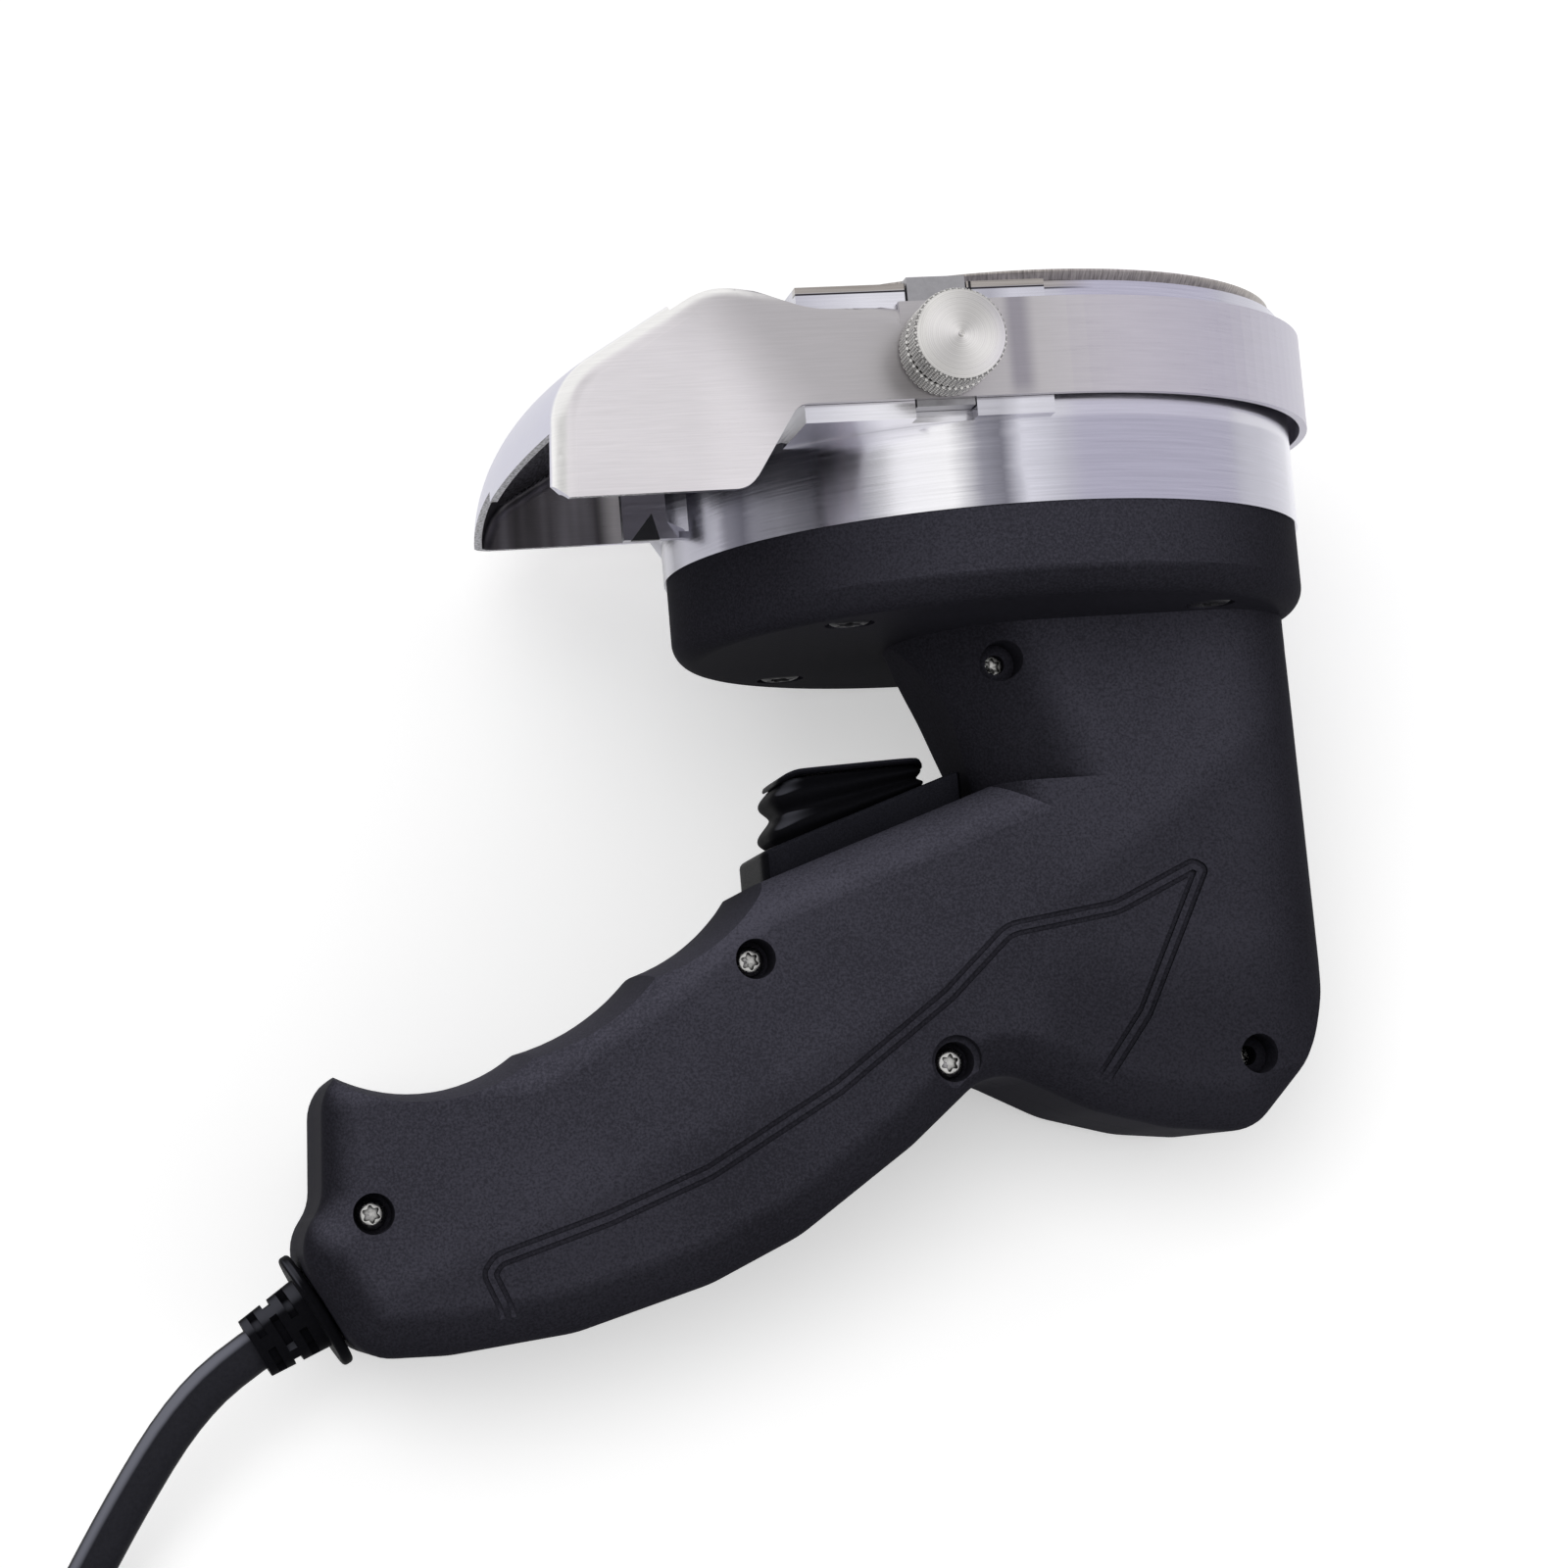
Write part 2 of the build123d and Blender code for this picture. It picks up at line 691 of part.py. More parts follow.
def rounded_side(reach, low, high, inset, away):
    "A long block with one elliptical side, along the line from low to high, to cut the handle to."
    (ax, ay), (bx, by) = low, high
    half = half_width - inset
    far = 2 * handle_drop
    bar = extrude(Ellipse(reach - inset, half), amount=2 * far)
    bar = Pos(0, far, 0) * Rot(90, 0, 0) * bar + block(sorted((0, away * far)), (-far, far), (-half, half))
    lean = degrees(atan2(bx - ax, ay - by))
    return Pos(ax + away * reach, ay, 0) * Rot(0, 0, lean) * bar


def rounded_sides(inset):
    "The motor case's round rear and the neck's round front."
    rear = rounded_side(case_round, neck_point(case_rear_shares[0]), neck_point(case_rear_shares[1]), inset, -1)
    front = rounded_side(neck_round, neck_point(neck_front_shares[0]), neck_point(neck_front_shares[1]), inset, 1)
    corner = neck_point(neck_shares[-1])[1] + inset
    far = 2 * handle_drop
    return rear & (front + block((-far, far), (-far, corner), (-half_width, half_width)))


def handle_body():
    "Both shells as one solid block with rounded sides and finger grooves."
    body = slab(handle_outline(), -half_width, half_width)
    rims = [e for e in body.edges() if abs(abs(e.center().Z) - half_width) < 0.1 * shell_wall]
    rims = [e for e in rims if e.center().Y < -collar_height - 0.1 * shell_wall]
    body = fillet(rims, edge_round) & rounded_sides(0)
    for cutter in groove_cutters(0):
        body -= cutter
    return body


def handle_cavity():
    "The room inside the shells."
    inner = half_width - shell_wall
    face = offset(handle_outline(), -shell_wall)
    reach = 0.7 * (edge_round - shell_wall)
    room = slab(face, reach - inner, inner - reach)
    room += slab(offset(face, -reach), -inner, inner)
    room &= rounded_sides(shell_wall)
    for cutter in groove_cutters(shell_wall):
        room -= cutter
    return room


def pocket_places():
    return [side_point(p) for p in pocket_shares]


def eased(points, largest):
    "A rounding for each corner of an outline that its two runs have room for."
    radii = []
    for place, (x, y) in enumerate(points):
        (ax, ay), (bx, by) = points[place - 1], points[(place + 1) % len(points)]
        turn = abs(atan2(y - ay, x - ax) - atan2(by - y, bx - x))
        turn = min(turn, 2 * pi - turn)
        run = 0.4 * min(hypot(x - ax, y - ay), hypot(bx - x, by - y))
        room = run / tan(0.5 * turn)
        radii.append(min(largest, room))
    return radii


def double_line():
    "The two parallel grooves that frame the smooth panel on a side face."
    points = [side_point(p) for p in line_shares]
    face = outline(points, eased(points, 4 * line_pitch))
    grooves = []
    for step in (0, 1):
        outer = offset(face, -step * line_pitch) if step else face
        grooves.append(outer - offset(outer, -line_width))
    return grooves


def slope_angle():
    "The lean of the seat under the trigger."
    ax, ay = neck_point(neck_shares[-1])
    bx, by = grip_point(grip_shares[0])
    return atan2(ay - by, ax - bx)


def seat_point(along, rise):
    "A point over the trigger seat: along it to the front, and out from it."
    ax, ay = neck_point(neck_shares[-1])
    lean = slope_angle()
    return ax - along * cos(lean) - rise * sin(lean), ay - along * sin(lean) + rise * cos(lean)


def pivot():
    "The trigger's hinge axis."
    x = neck_point(neck_shares[-1])[0] - 1.8 * pivot_radius
    y = seat_point(frame_border, frame_height + pivot_rise - 0.5 * pivot_radius)[1]
    return x, y


def post_x():
    return pivot()[0] - post_share * trigger_length


def trigger_under(x):
    "The level of the trigger's underside at a place along it."
    px, py = pivot()
    share = (px - x) / trigger_length
    return py - 0.25 * pivot_radius - share * trigger_drop_shares[0] * trigger_length


def post_foot():
    return trigger_under(post_x()) - post_length


def trigger():
    "The paddle with its hinge barrel and the short post that presses the switch."
    px, py = pivot()
    length = trigger_length
    tip = px - length
    top = py + pivot_radius
    barrel = px - pivot_radius
    face = outline([(px, top), (px - 0.85 * length, top - trigger_drop_shares[2] * length),
                    (tip + 0.2 * trigger_thickness, top - trigger_drop_shares[1] * length),
                    (tip, trigger_under(tip)), (px, trigger_under(px))],
                   (0, 2 * trigger_thickness, 0.4 * trigger_thickness, 0, 0))
    body = slab(face, -trigger_half_width, trigger_half_width)
    half = trigger_half_width
    corner = 1.2 * trigger_thickness
    plan = make_face(Polyline((px, -half), (tip + corner, -half), (tip, corner - half), (tip, half - corner),
                              (tip + corner, half), (px, half), close=True))
    body &= Pos(0, top + overrun, 0) * Rot(90, 0, 0) * extrude(plan, amount=2 * half, dir=(0, 0, 1))
    body -= block((barrel, px + overrun), (py - 2 * pivot_radius, top + overrun), (-2 * half, 2 * half))
    neck = block((barrel - overrun, px), (py - 0.5 * pivot_radius, py + 0.7 * pivot_radius), (-half, half))
    body += neck + crosswise(pivot_radius, -half, half, px, py)
    body -= crosswise(pin_radius + running_gap, -half - overrun, half + overrun, px, py)
    foot = post_foot() + post_radius
    half = 1.4 * post_radius
    body += block((post_x() - post_radius, post_x() + post_radius), (foot, trigger_under(post_x()) + 0.4 * overrun),
                  (-half, half))
    return body + crosswise(post_radius, -half, half, post_x(), foot)


def trigger_pin():
    px, py = pivot()
    half = trigger_half_width + ear_gap + ear_thickness
    return crosswise(pin_radius, -half, half, px, py)


def boot_frame():
    "The frame that clamps the rubber boot on its seat and carries the trigger's pin."
    start = frame_border
    end = start + frame_reach
    side = outline([seat_point(start, 0), seat_point(start, frame_height), seat_point(end, frame_height),
                    seat_point(end + frame_ramp, 0)])
    body = slab(side, -frame_half_width, frame_half_width)
    rear = start + 2.6 * frame_border
    front = end - 1.8 * frame_border
    hole = outline([seat_point(rear, -overrun), seat_point(rear, 2 * frame_height),
                    seat_point(front, 2 * frame_height), seat_point(front, -overrun)])
    inner = trigger_half_width - boot_inset - 2 * boot_wall
    body -= slab(hole, -inner, inner)
    px, py = pivot()
    inside = trigger_half_width + ear_gap
    for side in (-1, 1):
        faces = sorted((side * inside, side * (inside + ear_thickness)))
        base = outline([(px - 1.5 * pivot_radius, py - pivot_rise), (px - pivot_radius, py + 0.3 * pivot_radius),
                        (px + pivot_radius, py + 0.3 * pivot_radius), (px + 0.9 * pivot_radius, py - pivot_rise)])
        ear = crosswise(pivot_radius, *faces, px, py) + slab(base, *faces)
        body += ear - crosswise(pin_radius + running_gap, *faces, px, py)
    return body


def boot_ring(share, step, inset):
    "One rim of the bellows, between the frame and the trigger's underside."
    px = pivot()[0]
    tip = px - trigger_length + boot_inset
    near = px - 1.6 * boot_inset - pivot_radius
    low_front = seat_point(frame_border + frame_reach - frame_border, frame_height)
    low_rear = seat_point(2.6 * frame_border, frame_height)
    gap = 0.5 * play
    high_front = (tip, trigger_under(tip) - gap)
    high_rear = (near, trigger_under(near) - gap)
    out = boot_pleat * (step % 2) - inset
    front = [low + share * (high - low) for low, high in zip(low_front, high_front)]
    rear = [low + share * (high - low) for low, high in zip(low_rear, high_rear)]
    length = hypot(rear[0] - front[0], rear[1] - front[1])
    ux, uy = (rear[0] - front[0]) / length, (rear[1] - front[1]) / length
    half = trigger_half_width - boot_inset + out
    ends = ((front[0] - out * ux, front[1] - out * uy), (rear[0] + 0.3 * out * ux, rear[1] + 0.3 * out * uy))
    corners = [(*ends[0], -half), (*ends[1], -half), (*ends[1], half), (*ends[0], half)]
    return make_face(Polyline(*corners, close=True))


def trigger_boot():
    "The pleated rubber bellows under the trigger."
    outer = loft([boot_ring(k / boot_rings, k, 0) for k in range(boot_rings + 1)], ruled=True)
    shares = [k / boot_rings for k in range(boot_rings + 1)]
    shares[0] = -0.2 / boot_rings
    shares[-1] = 1 + 0.2 / boot_rings
    inner = loft([boot_ring(share, k, boot_wall) for k, share in enumerate(shares)], ruled=True)
    return outer - inner


def plunger_top():
    return post_foot() - play


def switch_top():
    return plunger_top() - switch_depth


def switch_body():
    top = switch_top()
    x = post_x()
    half = 0.5 * switch_length
    body = block((x - half, x + half), (top - switch_height, top), (-switch_half_width, switch_half_width))
    body += upright(1.5 * plunger_cap, top - overrun, top + cap_height, x)
    body -= upright(plunger_radius + running_gap, top - 0.7 * switch_height, top + 2 * cap_height, x)
    for side in (-1, 1):
        middle = x + side * 0.6 * half
        body += block((middle - 0.5 * blade_tab, middle + 0.5 * blade_tab),
                      (top - switch_height - terminal_rise, top - switch_height + overrun),
                      (-0.4 * switch_half_width, 0.4 * switch_half_width))
    return body


def switch_plunger():
    x = post_x()
    top = plunger_top()
    return (upright(plunger_cap, top - cap_height, top, x)
            + upright(plunger_radius, switch_top() - 0.3 * switch_height, top, x))


def relief_root():
    "Where the cord's sleeve meets the butt, and its direction."
    ax, ay = grip_point(grip_shares[5])
    bx, by = grip_point(grip_shares[6])
    return 0.48 * ax + 0.52 * bx, 0.48 * ay + 0.52 * by


def butt_angle():
    ax, ay = grip_point(grip_shares[5])
    bx, by = grip_point(grip_shares[6])
    return degrees(atan2(by - ay, bx - ax)) + 90


def along_relief(shape):
    "Place a shape drawn along +x, outward from the butt face."
    x, y = relief_root()
    return Pos(x, y, 0) * Rot(0, 0, butt_angle() + 180) * shape


def lengthwise(radius, start, end):
    "A cylinder along the cord's sleeve."
    return Pos((start + end) / 2, 0, 0) * Rot(0, 90, 0) * Cylinder(radius, end - start)


def strain_relief():
    "The flanged rubber sleeve with its three slotted rings."
    flange = play + relief_flange
    neck = relief_neck_radius - shell_gap
    inside = -shell_wall - play
    points = [(-relief_tail, 0), (-relief_tail, neck), (inside - relief_flange, neck),
              (inside - relief_flange, relief_flange_radius - overrun), (inside, relief_flange_radius - overrun),
              (inside, neck), (play, neck), (play, relief_flange_radius),
              (flange, relief_flange_radius), (flange, relief_root_radius),
              (relief_length, relief_tip_radius), (relief_length, 0)]
    sleeve = revolve(make_face(Polyline(*points, close=True)), axis=Axis.X)
    rims = sleeve.edges().filter_by(GeomType.CIRCLE).filter_by(lambda e: e.radius > 0.98 * relief_flange_radius)
    sleeve = fillet(rims, 0.35 * relief_flange)
    sleeve -= lengthwise(0.5 * cord_diameter + running_gap, -relief_tail - overrun, relief_length + overrun)
    pitch = (relief_length - flange) / (relief_slot_count + 0.6)
    for row in range(relief_slot_count):
        x = flange + (row + 0.9) * pitch
        ring = lengthwise(2 * relief_root_radius, x - 0.5 * relief_slot, x + 0.5 * relief_slot)
        ring -= lengthwise(relief_tip_radius - relief_slot_depth, x - relief_slot, x + relief_slot)
        turn = 45 if row % 2 else 0
        bars = Rot(turn, 0, 0) * (Pos(x, 0, 0) * (Box(2 * relief_slot, 4 * relief_root_radius, 1.6 * relief_slot)
                                                   + Box(2 * relief_slot, 1.6 * relief_slot, 4 * relief_root_radius)))
        sleeve -= ring - bars
    return along_relief(sleeve)


def cord_lead():
    "The cord's end inside the handle, held by the clamp."
    reach = relief_tail + 3.6 * clamp_width
    return along_relief(lengthwise(0.5 * cord_diameter, -reach, cord_seat))


def clamp_place():
    return -relief_tail - 2.0 * clamp_width


def cable_clamp():
    "The bar that holds the cord's inner end down on two posts."
    x = clamp_place()
    low = 0.5 * cord_diameter + 0.5 * play
    bar = Pos(x, 0, low + 0.5 * clamp_thickness) * Box(clamp_width, 2.6 * clamp_width, clamp_thickness)
    for side in (-1, 1):
        bar -= Pos(x, side * clamp_width, low) * Cylinder(shell_screw_radius + running_gap, 4 * clamp_thickness)
    return along_relief(bar)


def clamp_screws():
    x = clamp_place()
    top = 0.5 * cord_diameter + 0.5 * play + clamp_thickness
    screws = []
    for side in (-1, 1):
        cap = Pos(x, side * clamp_width, top + 0.5 * shell_screw_cap) * Cylinder(shell_screw_head, shell_screw_cap)
        shank = Pos(x, side * clamp_width, top - clamp_width + 0.5 * overrun) * Cylinder(
            shell_screw_radius, 2 * clamp_width)
        screws.append(along_relief(cap + shank))
    return Compound(children=screws)


def clamp_posts():
    x = clamp_place()
    top = 0.5 * cord_diameter + 0.5 * play
    posts = []
    for side in (-1, 1):
        post = Pos(x, side * clamp_width, 0.5 * (top - half_width)) * Cylinder(
            shell_screw_radius + boss_wall, top + half_width)
        hole = Pos(x, side * clamp_width, top) * Cylinder(shell_screw_radius + running_gap, 4 * clamp_width)
        posts.append((along_relief(post), along_relief(hole)))
    return posts


def handle_shells():
    "The two halves of the handle, near and far."
    body = handle_body()
    shell = body - handle_cavity()
    step = half_width - pocket_depth - boss_wall
    for x, y in pocket_places():
        stem = crosswise(shell_screw_radius + boss_wall, -half_width, half_width, x, y)
        cup = crosswise(pocket_radius + boss_wall, step, half_width, x, y)
        shell += body & (stem + cup)
    shelf_top = switch_top() - switch_height - 0.5 * play
    for end in (-1, 1):
        x = post_x() + end * 0.4 * switch_length
        rib = block((x - 0.5 * shelf, x + 0.5 * shelf), (shelf_top - shelf, shelf_top), (-half_width, half_width))
        shell += body & rib
    # openings for the motor, the trigger's post and the cord's sleeve
    shell -= upright(motor_radius + shell_gap, motor_top() - 3 * shell_wall, overrun, motor_x)
    x = post_x()
    shell -= block((x - post_radius - slot_margin, x + post_radius + 1.6 * slot_margin),
                   (switch_top() + 0.8 * cap_height, trigger_under(x)), (-2 * post_radius, 2 * post_radius))
    shell -= along_relief(lengthwise(relief_neck_radius, -shell_wall - overrun, 2 * relief_flange))
    shell -= along_relief(lengthwise(relief_flange_radius, -shell_wall - relief_flange - 3 * play, -shell_wall))
    hole = shell_screw_radius + running_gap
    for x, y in pocket_places():
        shell -= crosswise(hole, half_width - pocket_depth - shell_screw_length - overrun, half_width + overrun, x, y)
        shell -= crosswise(pocket_radius, half_width - pocket_depth, half_width + overrun, x, y)
        if (x, y) == side_point(stepped_pocket_shares):
            shell -= crosswise(1.3 * pocket_radius, half_width - 0.3 * pocket_depth, half_width + overrun, x, y)
    for groove in double_line():
        shell -= slab(groove, half_width - line_depth, half_width + overrun)
        shell -= slab(groove, -half_width - overrun, line_depth - half_width)
    wide = (-2 * handle_reach, 2 * handle_reach)
    near = shell & block(wide, (-2 * handle_drop, 0), (0, half_width))
    far = shell & block(wide, (-2 * handle_drop, 0), (-half_width, 0))
    for post, hole in clamp_posts():
        far += body & post
        far -= hole
    return near, far


def handle_screws():
    "The five screws that hold the near shell on the far one."
    screws = []
    top = half_width - pocket_depth
    for x, y in pocket_places():
        cap = crosswise(shell_screw_head, top, top + shell_screw_cap, x, y)
        cap -= crosswise(0.45 * shell_screw_head, top + 0.5 * shell_screw_cap, top + 2 * shell_screw_cap, x, y)
        screws.append(cap + crosswise(shell_screw_radius, top - shell_screw_length, top, x, y))
    return Compound(children=screws)


def capacitor():
    "The interference capacitor across the motor's terminals."
    foot = motor_top() - motor_length - end_cap
    half = 0.55 * motor_radius - 0.2 * overrun - 0.5 * play
    level = foot - capacitor_radius - 0.5 * play
    return crosswise(capacitor_radius, -half, half, motor_x, level)


def tool_parts():
    "Every piece of the tool itself, by name, in the tool's own frame."
    near, far = handle_shells()
    return {
        "head_housing": head_housing(),
        "blade": blade(),
        "blade_spindle": blade_spindle(),
        "blade_washer": blade_washer(),
        "blade_nut": blade_nut(),
        "spindle_bearing_upper": bearing(upper_bearing_level),
        "spindle_bearing_lower": bearing(lower_bearing_level()),
        "gearbox_plate": gearbox_plate(),
        "drive_gear": drive_gear(),
        "motor_pinion": motor_pinion(),
        "motor_can": motor_can(),
        "motor_rotor": motor_rotor(),
        "motor_end_cap": motor_end_cap(),
        "collar": collar(),
        "head_screws": head_screws(),
        "depth_guide": depth_guide(),
        "guide_block_near": guide_block(1),
        "guide_block_far": guide_block(-1),
        "thumb_screw_near": thumb_screw(1),
        "thumb_screw_far": thumb_screw(-1),
        "screw_stud_near": screw_stud(1),
        "screw_stud_far": screw_stud(-1),
        "handle_shell_near": near,
        "handle_shell_far": far,
        "handle_screws": handle_screws(),
        "trigger": trigger(),
        "trigger_pin": trigger_pin(),
        "trigger_boot": trigger_boot(),
        "boot_frame": boot_frame(),
        "switch_body": switch_body(),
        "switch_plunger": switch_plunger(),
        "capacitor": capacitor(),
        "cable_clamp": cable_clamp(),
        "cable_clamp_screws": clamp_screws(),
        "strain_relief": strain_relief(),
        "cord_lead": cord_lead(),
    }


def resting_plane():
    "The table's plane under the tool, as a contact point and the upward normal."
    down = edge_round - half_width
    gx, gy = grip_point(contact_grip_shares)
    cx, cy = neck_point(contact_case_shares)
    grip_ball = Vector(gx, gy + edge_round, down)
    case_ball = Vector(cx - contact_lean_share * edge_round, cy + edge_round, down)
    knob = Vector(knob_x, knob_level, -knob_base() - knob_length)
    up = Vector(0, 0, 1)
    for _ in range(6):
        aside = Vector(up.X, up.Y, 0)
        rim = knob if aside.length == 0 else knob - aside.normalized() * (knob_radius - knob_edge)
        up = (case_ball - up * edge_round - rim).cross(grip_ball - case_ball).normalized()
        if up.Z < 0:
            up = -up
    return rim, up


def lay_down(shapes):
    "Turn the tool on its far side and centre it over the origin, standing on the table."
    rim, up = resting_plane()
    across = Vector(1, 0, 0) - up * up.X
    turn = Plane(origin=rim, x_dir=across, z_dir=up).location.inverse()
    box = Compound(children=[turn * shape for shape in shapes.values()]).bounding_box()
    return Pos(-0.5 * (box.min.X + box.max.X), -0.5 * (box.min.Y + box.max.Y), -box.min.Z) * turn


def corner_radii(points):
    "The radius of each corner of a cord's route, as large as its runs allow."
    radii = []
    for before, here, after in zip(points, points[1:], points[2:]):
        shorter = min((here - before).length, (after - here).length)
        half_turn = radians((here - before).get_angle(after - here)) / 2
        radii.append(0.45 * shorter / tan(half_turn))
    return radii


def tube(points, name):
    "A round cord along a route of straight runs joined by tangent arcs."
    radii = corner_radii(points)
    path = FilletPolyline(*points, radius=radii)
    body = sweep(Plane(origin=points[0], z_dir=points[1] - points[0]) * Circle(0.5 * cord_diameter), path=path)
    expected = path.length * pi * (0.5 * cord_diameter) ** 2
    print(name, "length %.1f" % path.length, "volume share %.4f" % (body.volume / expected),
          "radii", [round(radius, 1) for radius in radii])
    return body, path.length


def coil_path(start):
    "The coil's line: it spirals in on the table, climbs a layer and spirals out again."
    pitch = cord_diameter + coil_gap
    x, y, z = start.X, start.Y - cord_diameter, start.Z
    edges = [Line(start, Vector(x, y, z))]
    side = 1
    radii = [coil_radius - 0.5 * pitch * step for step in range(coil_half_turns)]
    for radius in radii:
        edges.append(ThreePointArc((x, y, z), (x + side * radius, y - side * radius, z), (x + side * 2 * radius, y, z)))
        x += side * 2 * radius
        side = -side
    radius = radii[-1] - 0.5 * pitch
    reach = hypot(radius, 0.5 * pitch)
    top = Vector(x + side * radius, y - side * reach, z + 0.5 * pitch)
    edges.append(TangentArc((x, y, z), top, tangent=(0, -side, 0)))
    end = Vector(x + side * 2 * radius, y, z + pitch)
    edges.append(TangentArc(top, end, tangent=(side * radius, 0, 0.5 * pitch)))
    x, z = end.X, end.Z
    side = -side
    for radius in radii[:0:-1]:
        edges.append(ThreePointArc((x, y, z), (x + side * radius, y - side * radius, z), (x + side * 2 * radius, y, z)))
        x += side * 2 * radius
        side = -side
    foot = Vector(x + side * coil_radius, y - side * coil_radius, z)
    edges.append(TangentArc((x, y, z), foot, tangent=(0, -side, 0)))
    last = foot + Vector(side * cord_diameter, 0, 0)
    edges.append(Line(foot, last))
    return Wire(edges), last


def least_gap(path):
    "The smallest clear gap between the coil's turns, measured on points along it."
    count = round(path.length / (0.3 * cord_diameter))
    points = [path @ (step / count) for step in range(count + 1)]
    skip = round(3 * cord_diameter * count / path.length)
    gaps = [(a - b).length for place, a in enumerate(points) for b in points[place + skip:]]
    return min(gaps) - cord_diameter


def cord_coil(start):
    path, last = coil_path(start)
    body = sweep(Plane(origin=start, z_dir=(0, -1, 0)) * Circle(0.5 * cord_diameter), path=path)
    expected = path.length * pi * (0.5 * cord_diameter) ** 2
    print("cord_coil length %.1f" % path.length, "volume share %.4f" % (body.volume / expected),
          "least gap %.2f" % least_gap(path))
    return body, last, path.length


def plug_frame(end, direction):
    "A frame at the plug's cord entry, z along the cord into the plug, y upright."
    return Plane(origin=end, x_dir=direction.cross(Vector(0, 0, 1)), z_dir=direction).location


def plug_body():
    "A flat two-pin plug, drawn along z from its cord entry."
    half = 0.5 * plug_thickness
    profile = [(0.5 * plug_neck_radius, plug_neck_length), (0.5 * plug_width, plug_neck_length + 0.45 * plug_length),
               (0.5 * plug_width, plug_neck_length + 0.62 * plug_length),
               (0.5 * plug_face, plug_neck_length + plug_length)]
    mirrored = [(-x, z) for x, z in reversed(profile)]
    face = outline(profile + mirrored, eased(profile + mirrored, 2 * plug_round))
    flat = Rot(90, 0, 0) * Pos(0, 0, -half) * extrude(face, amount=2 * half)
    rims = [e for e in flat.edges() if abs(abs(e.center().Y) - half) < 0.1 * plug_round]
    flat = fillet(rims, 0.5 * plug_round)
    neck = Cone(0.8 * plug_neck_radius, plug_neck_radius, plug_neck_length + 2 * overrun)
    body = flat + Pos(0, 0, 0.5 * plug_neck_length + overrun) * neck
    pitch = plug_neck_length / 4
    for row in range(3):
        level = (row + 0.7) * pitch
        ring = Cylinder(2 * plug_neck_radius, 0.4 * pitch) - Cylinder(0.7 * plug_neck_radius, 0.4 * pitch)
        body -= Pos(0, 0, level) * ring
    return body - Pos(0, 0, 0.25 * plug_neck_length) * Cylinder(
        0.5 * cord_diameter + running_gap, 0.5 * plug_neck_length)


def plug_pins():
    "Two round pins with insulating sleeves at their roots."
    face = plug_neck_length + plug_length
    pins = []
    for side in (-1, 1):
        x = side * 0.5 * pin_spacing
        length = plug_pin_length - plug_pin_radius
        pin = Pos(x, 0, face + 0.5 * length) * Cylinder(pin_sleeve_radius, length)
        pin += Pos(x, 0, face + 0.5 * (pin_sleeve + length)) * Cylinder(plug_pin_radius, length - pin_sleeve)
        pins.append(pin + Pos(x, 0, face + length) * Sphere(plug_pin_radius))
    return Compound(children=pins)


def cord_parts(place):
    "The free cord from the handle to its plug, laid on the table beside the tool."
    x, y = relief_root()
    root = (place * Pos(x, y, 0)).position
    ahead = (place * Pos(x, y, 0) * Rot(0, 0, butt_angle() + 180) * Pos(cord_seat, 0, 0)).position
    outward = (ahead - root).normalized()
    points = [ahead, ahead + outward * cord_straight]
    points += [Vector(ahead.X + dx, ahead.Y + dy, height) for dx, dy, height in cord_route]
    cord, first = tube(points, "power_cord")
    coil, last, second = cord_coil(points[-1])
    tail_points = [last] + [last + Vector(*step) for step in tail_route]
    tail, third = tube(tail_points, "cord_tail")
    entry = plug_frame(tail_points[-1], (tail_points[-1] - tail_points[-2]).normalized())
    inside = relief_tail + 3.6 * clamp_width + cord_seat
    print("whole cord %.0f" % (inside + first + second + third), "route",
          [tuple(round(v, 1) for v in point) for point in points + tail_points])
    return {"power_cord": cord, "cord_coil": coil, "cord_tail": tail,
            "plug_body": entry * plug_body(), "plug_pins": entry * plug_pins()}


def main():
    os.makedirs("parts", exist_ok=True)
    shapes = tool_parts()
    place = lay_down(shapes)
    placed = {name: place * shape for name, shape in shapes.items()}
    placed.update(cord_parts(place))
    for name, shape in placed.items():
        export_step(shape, "parts/" + name + ".step")
    spot = place.position
    print("placement", [round(v, 4) for v in spot], [round(v, 4) for v in place.orientation])


main()
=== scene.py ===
from math import cos, hypot, pi, radians, sin

import bmesh
import bpy
from bpy.props import FloatProperty, FloatVectorProperty, IntProperty, PointerProperty
from mathutils import Matrix, Vector


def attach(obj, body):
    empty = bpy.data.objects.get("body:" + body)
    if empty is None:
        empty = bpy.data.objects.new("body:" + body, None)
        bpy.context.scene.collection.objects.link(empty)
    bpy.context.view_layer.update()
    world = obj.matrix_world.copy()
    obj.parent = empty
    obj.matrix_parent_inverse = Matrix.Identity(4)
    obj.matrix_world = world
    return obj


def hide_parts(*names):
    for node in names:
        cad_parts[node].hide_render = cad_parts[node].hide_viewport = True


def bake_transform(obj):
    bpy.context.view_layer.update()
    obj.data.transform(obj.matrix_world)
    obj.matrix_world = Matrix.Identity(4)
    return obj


bl_info = {
    "name": "Kebab Slicer Dressing",
    "version": (1, 0, 0),
    "blender": (4, 5, 0),
    "location": "View3D > Sidebar > Slicer",
    "description": "Finishes, fittings, cord and studio for the electric kebab slicer",
    "category": "Object",
}

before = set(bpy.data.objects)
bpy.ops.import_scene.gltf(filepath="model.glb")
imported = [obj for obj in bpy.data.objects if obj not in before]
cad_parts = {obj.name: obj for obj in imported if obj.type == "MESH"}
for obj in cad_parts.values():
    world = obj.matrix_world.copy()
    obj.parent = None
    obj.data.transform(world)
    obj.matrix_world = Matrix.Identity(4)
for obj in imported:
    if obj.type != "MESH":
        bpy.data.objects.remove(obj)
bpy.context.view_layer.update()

MM = 0.001

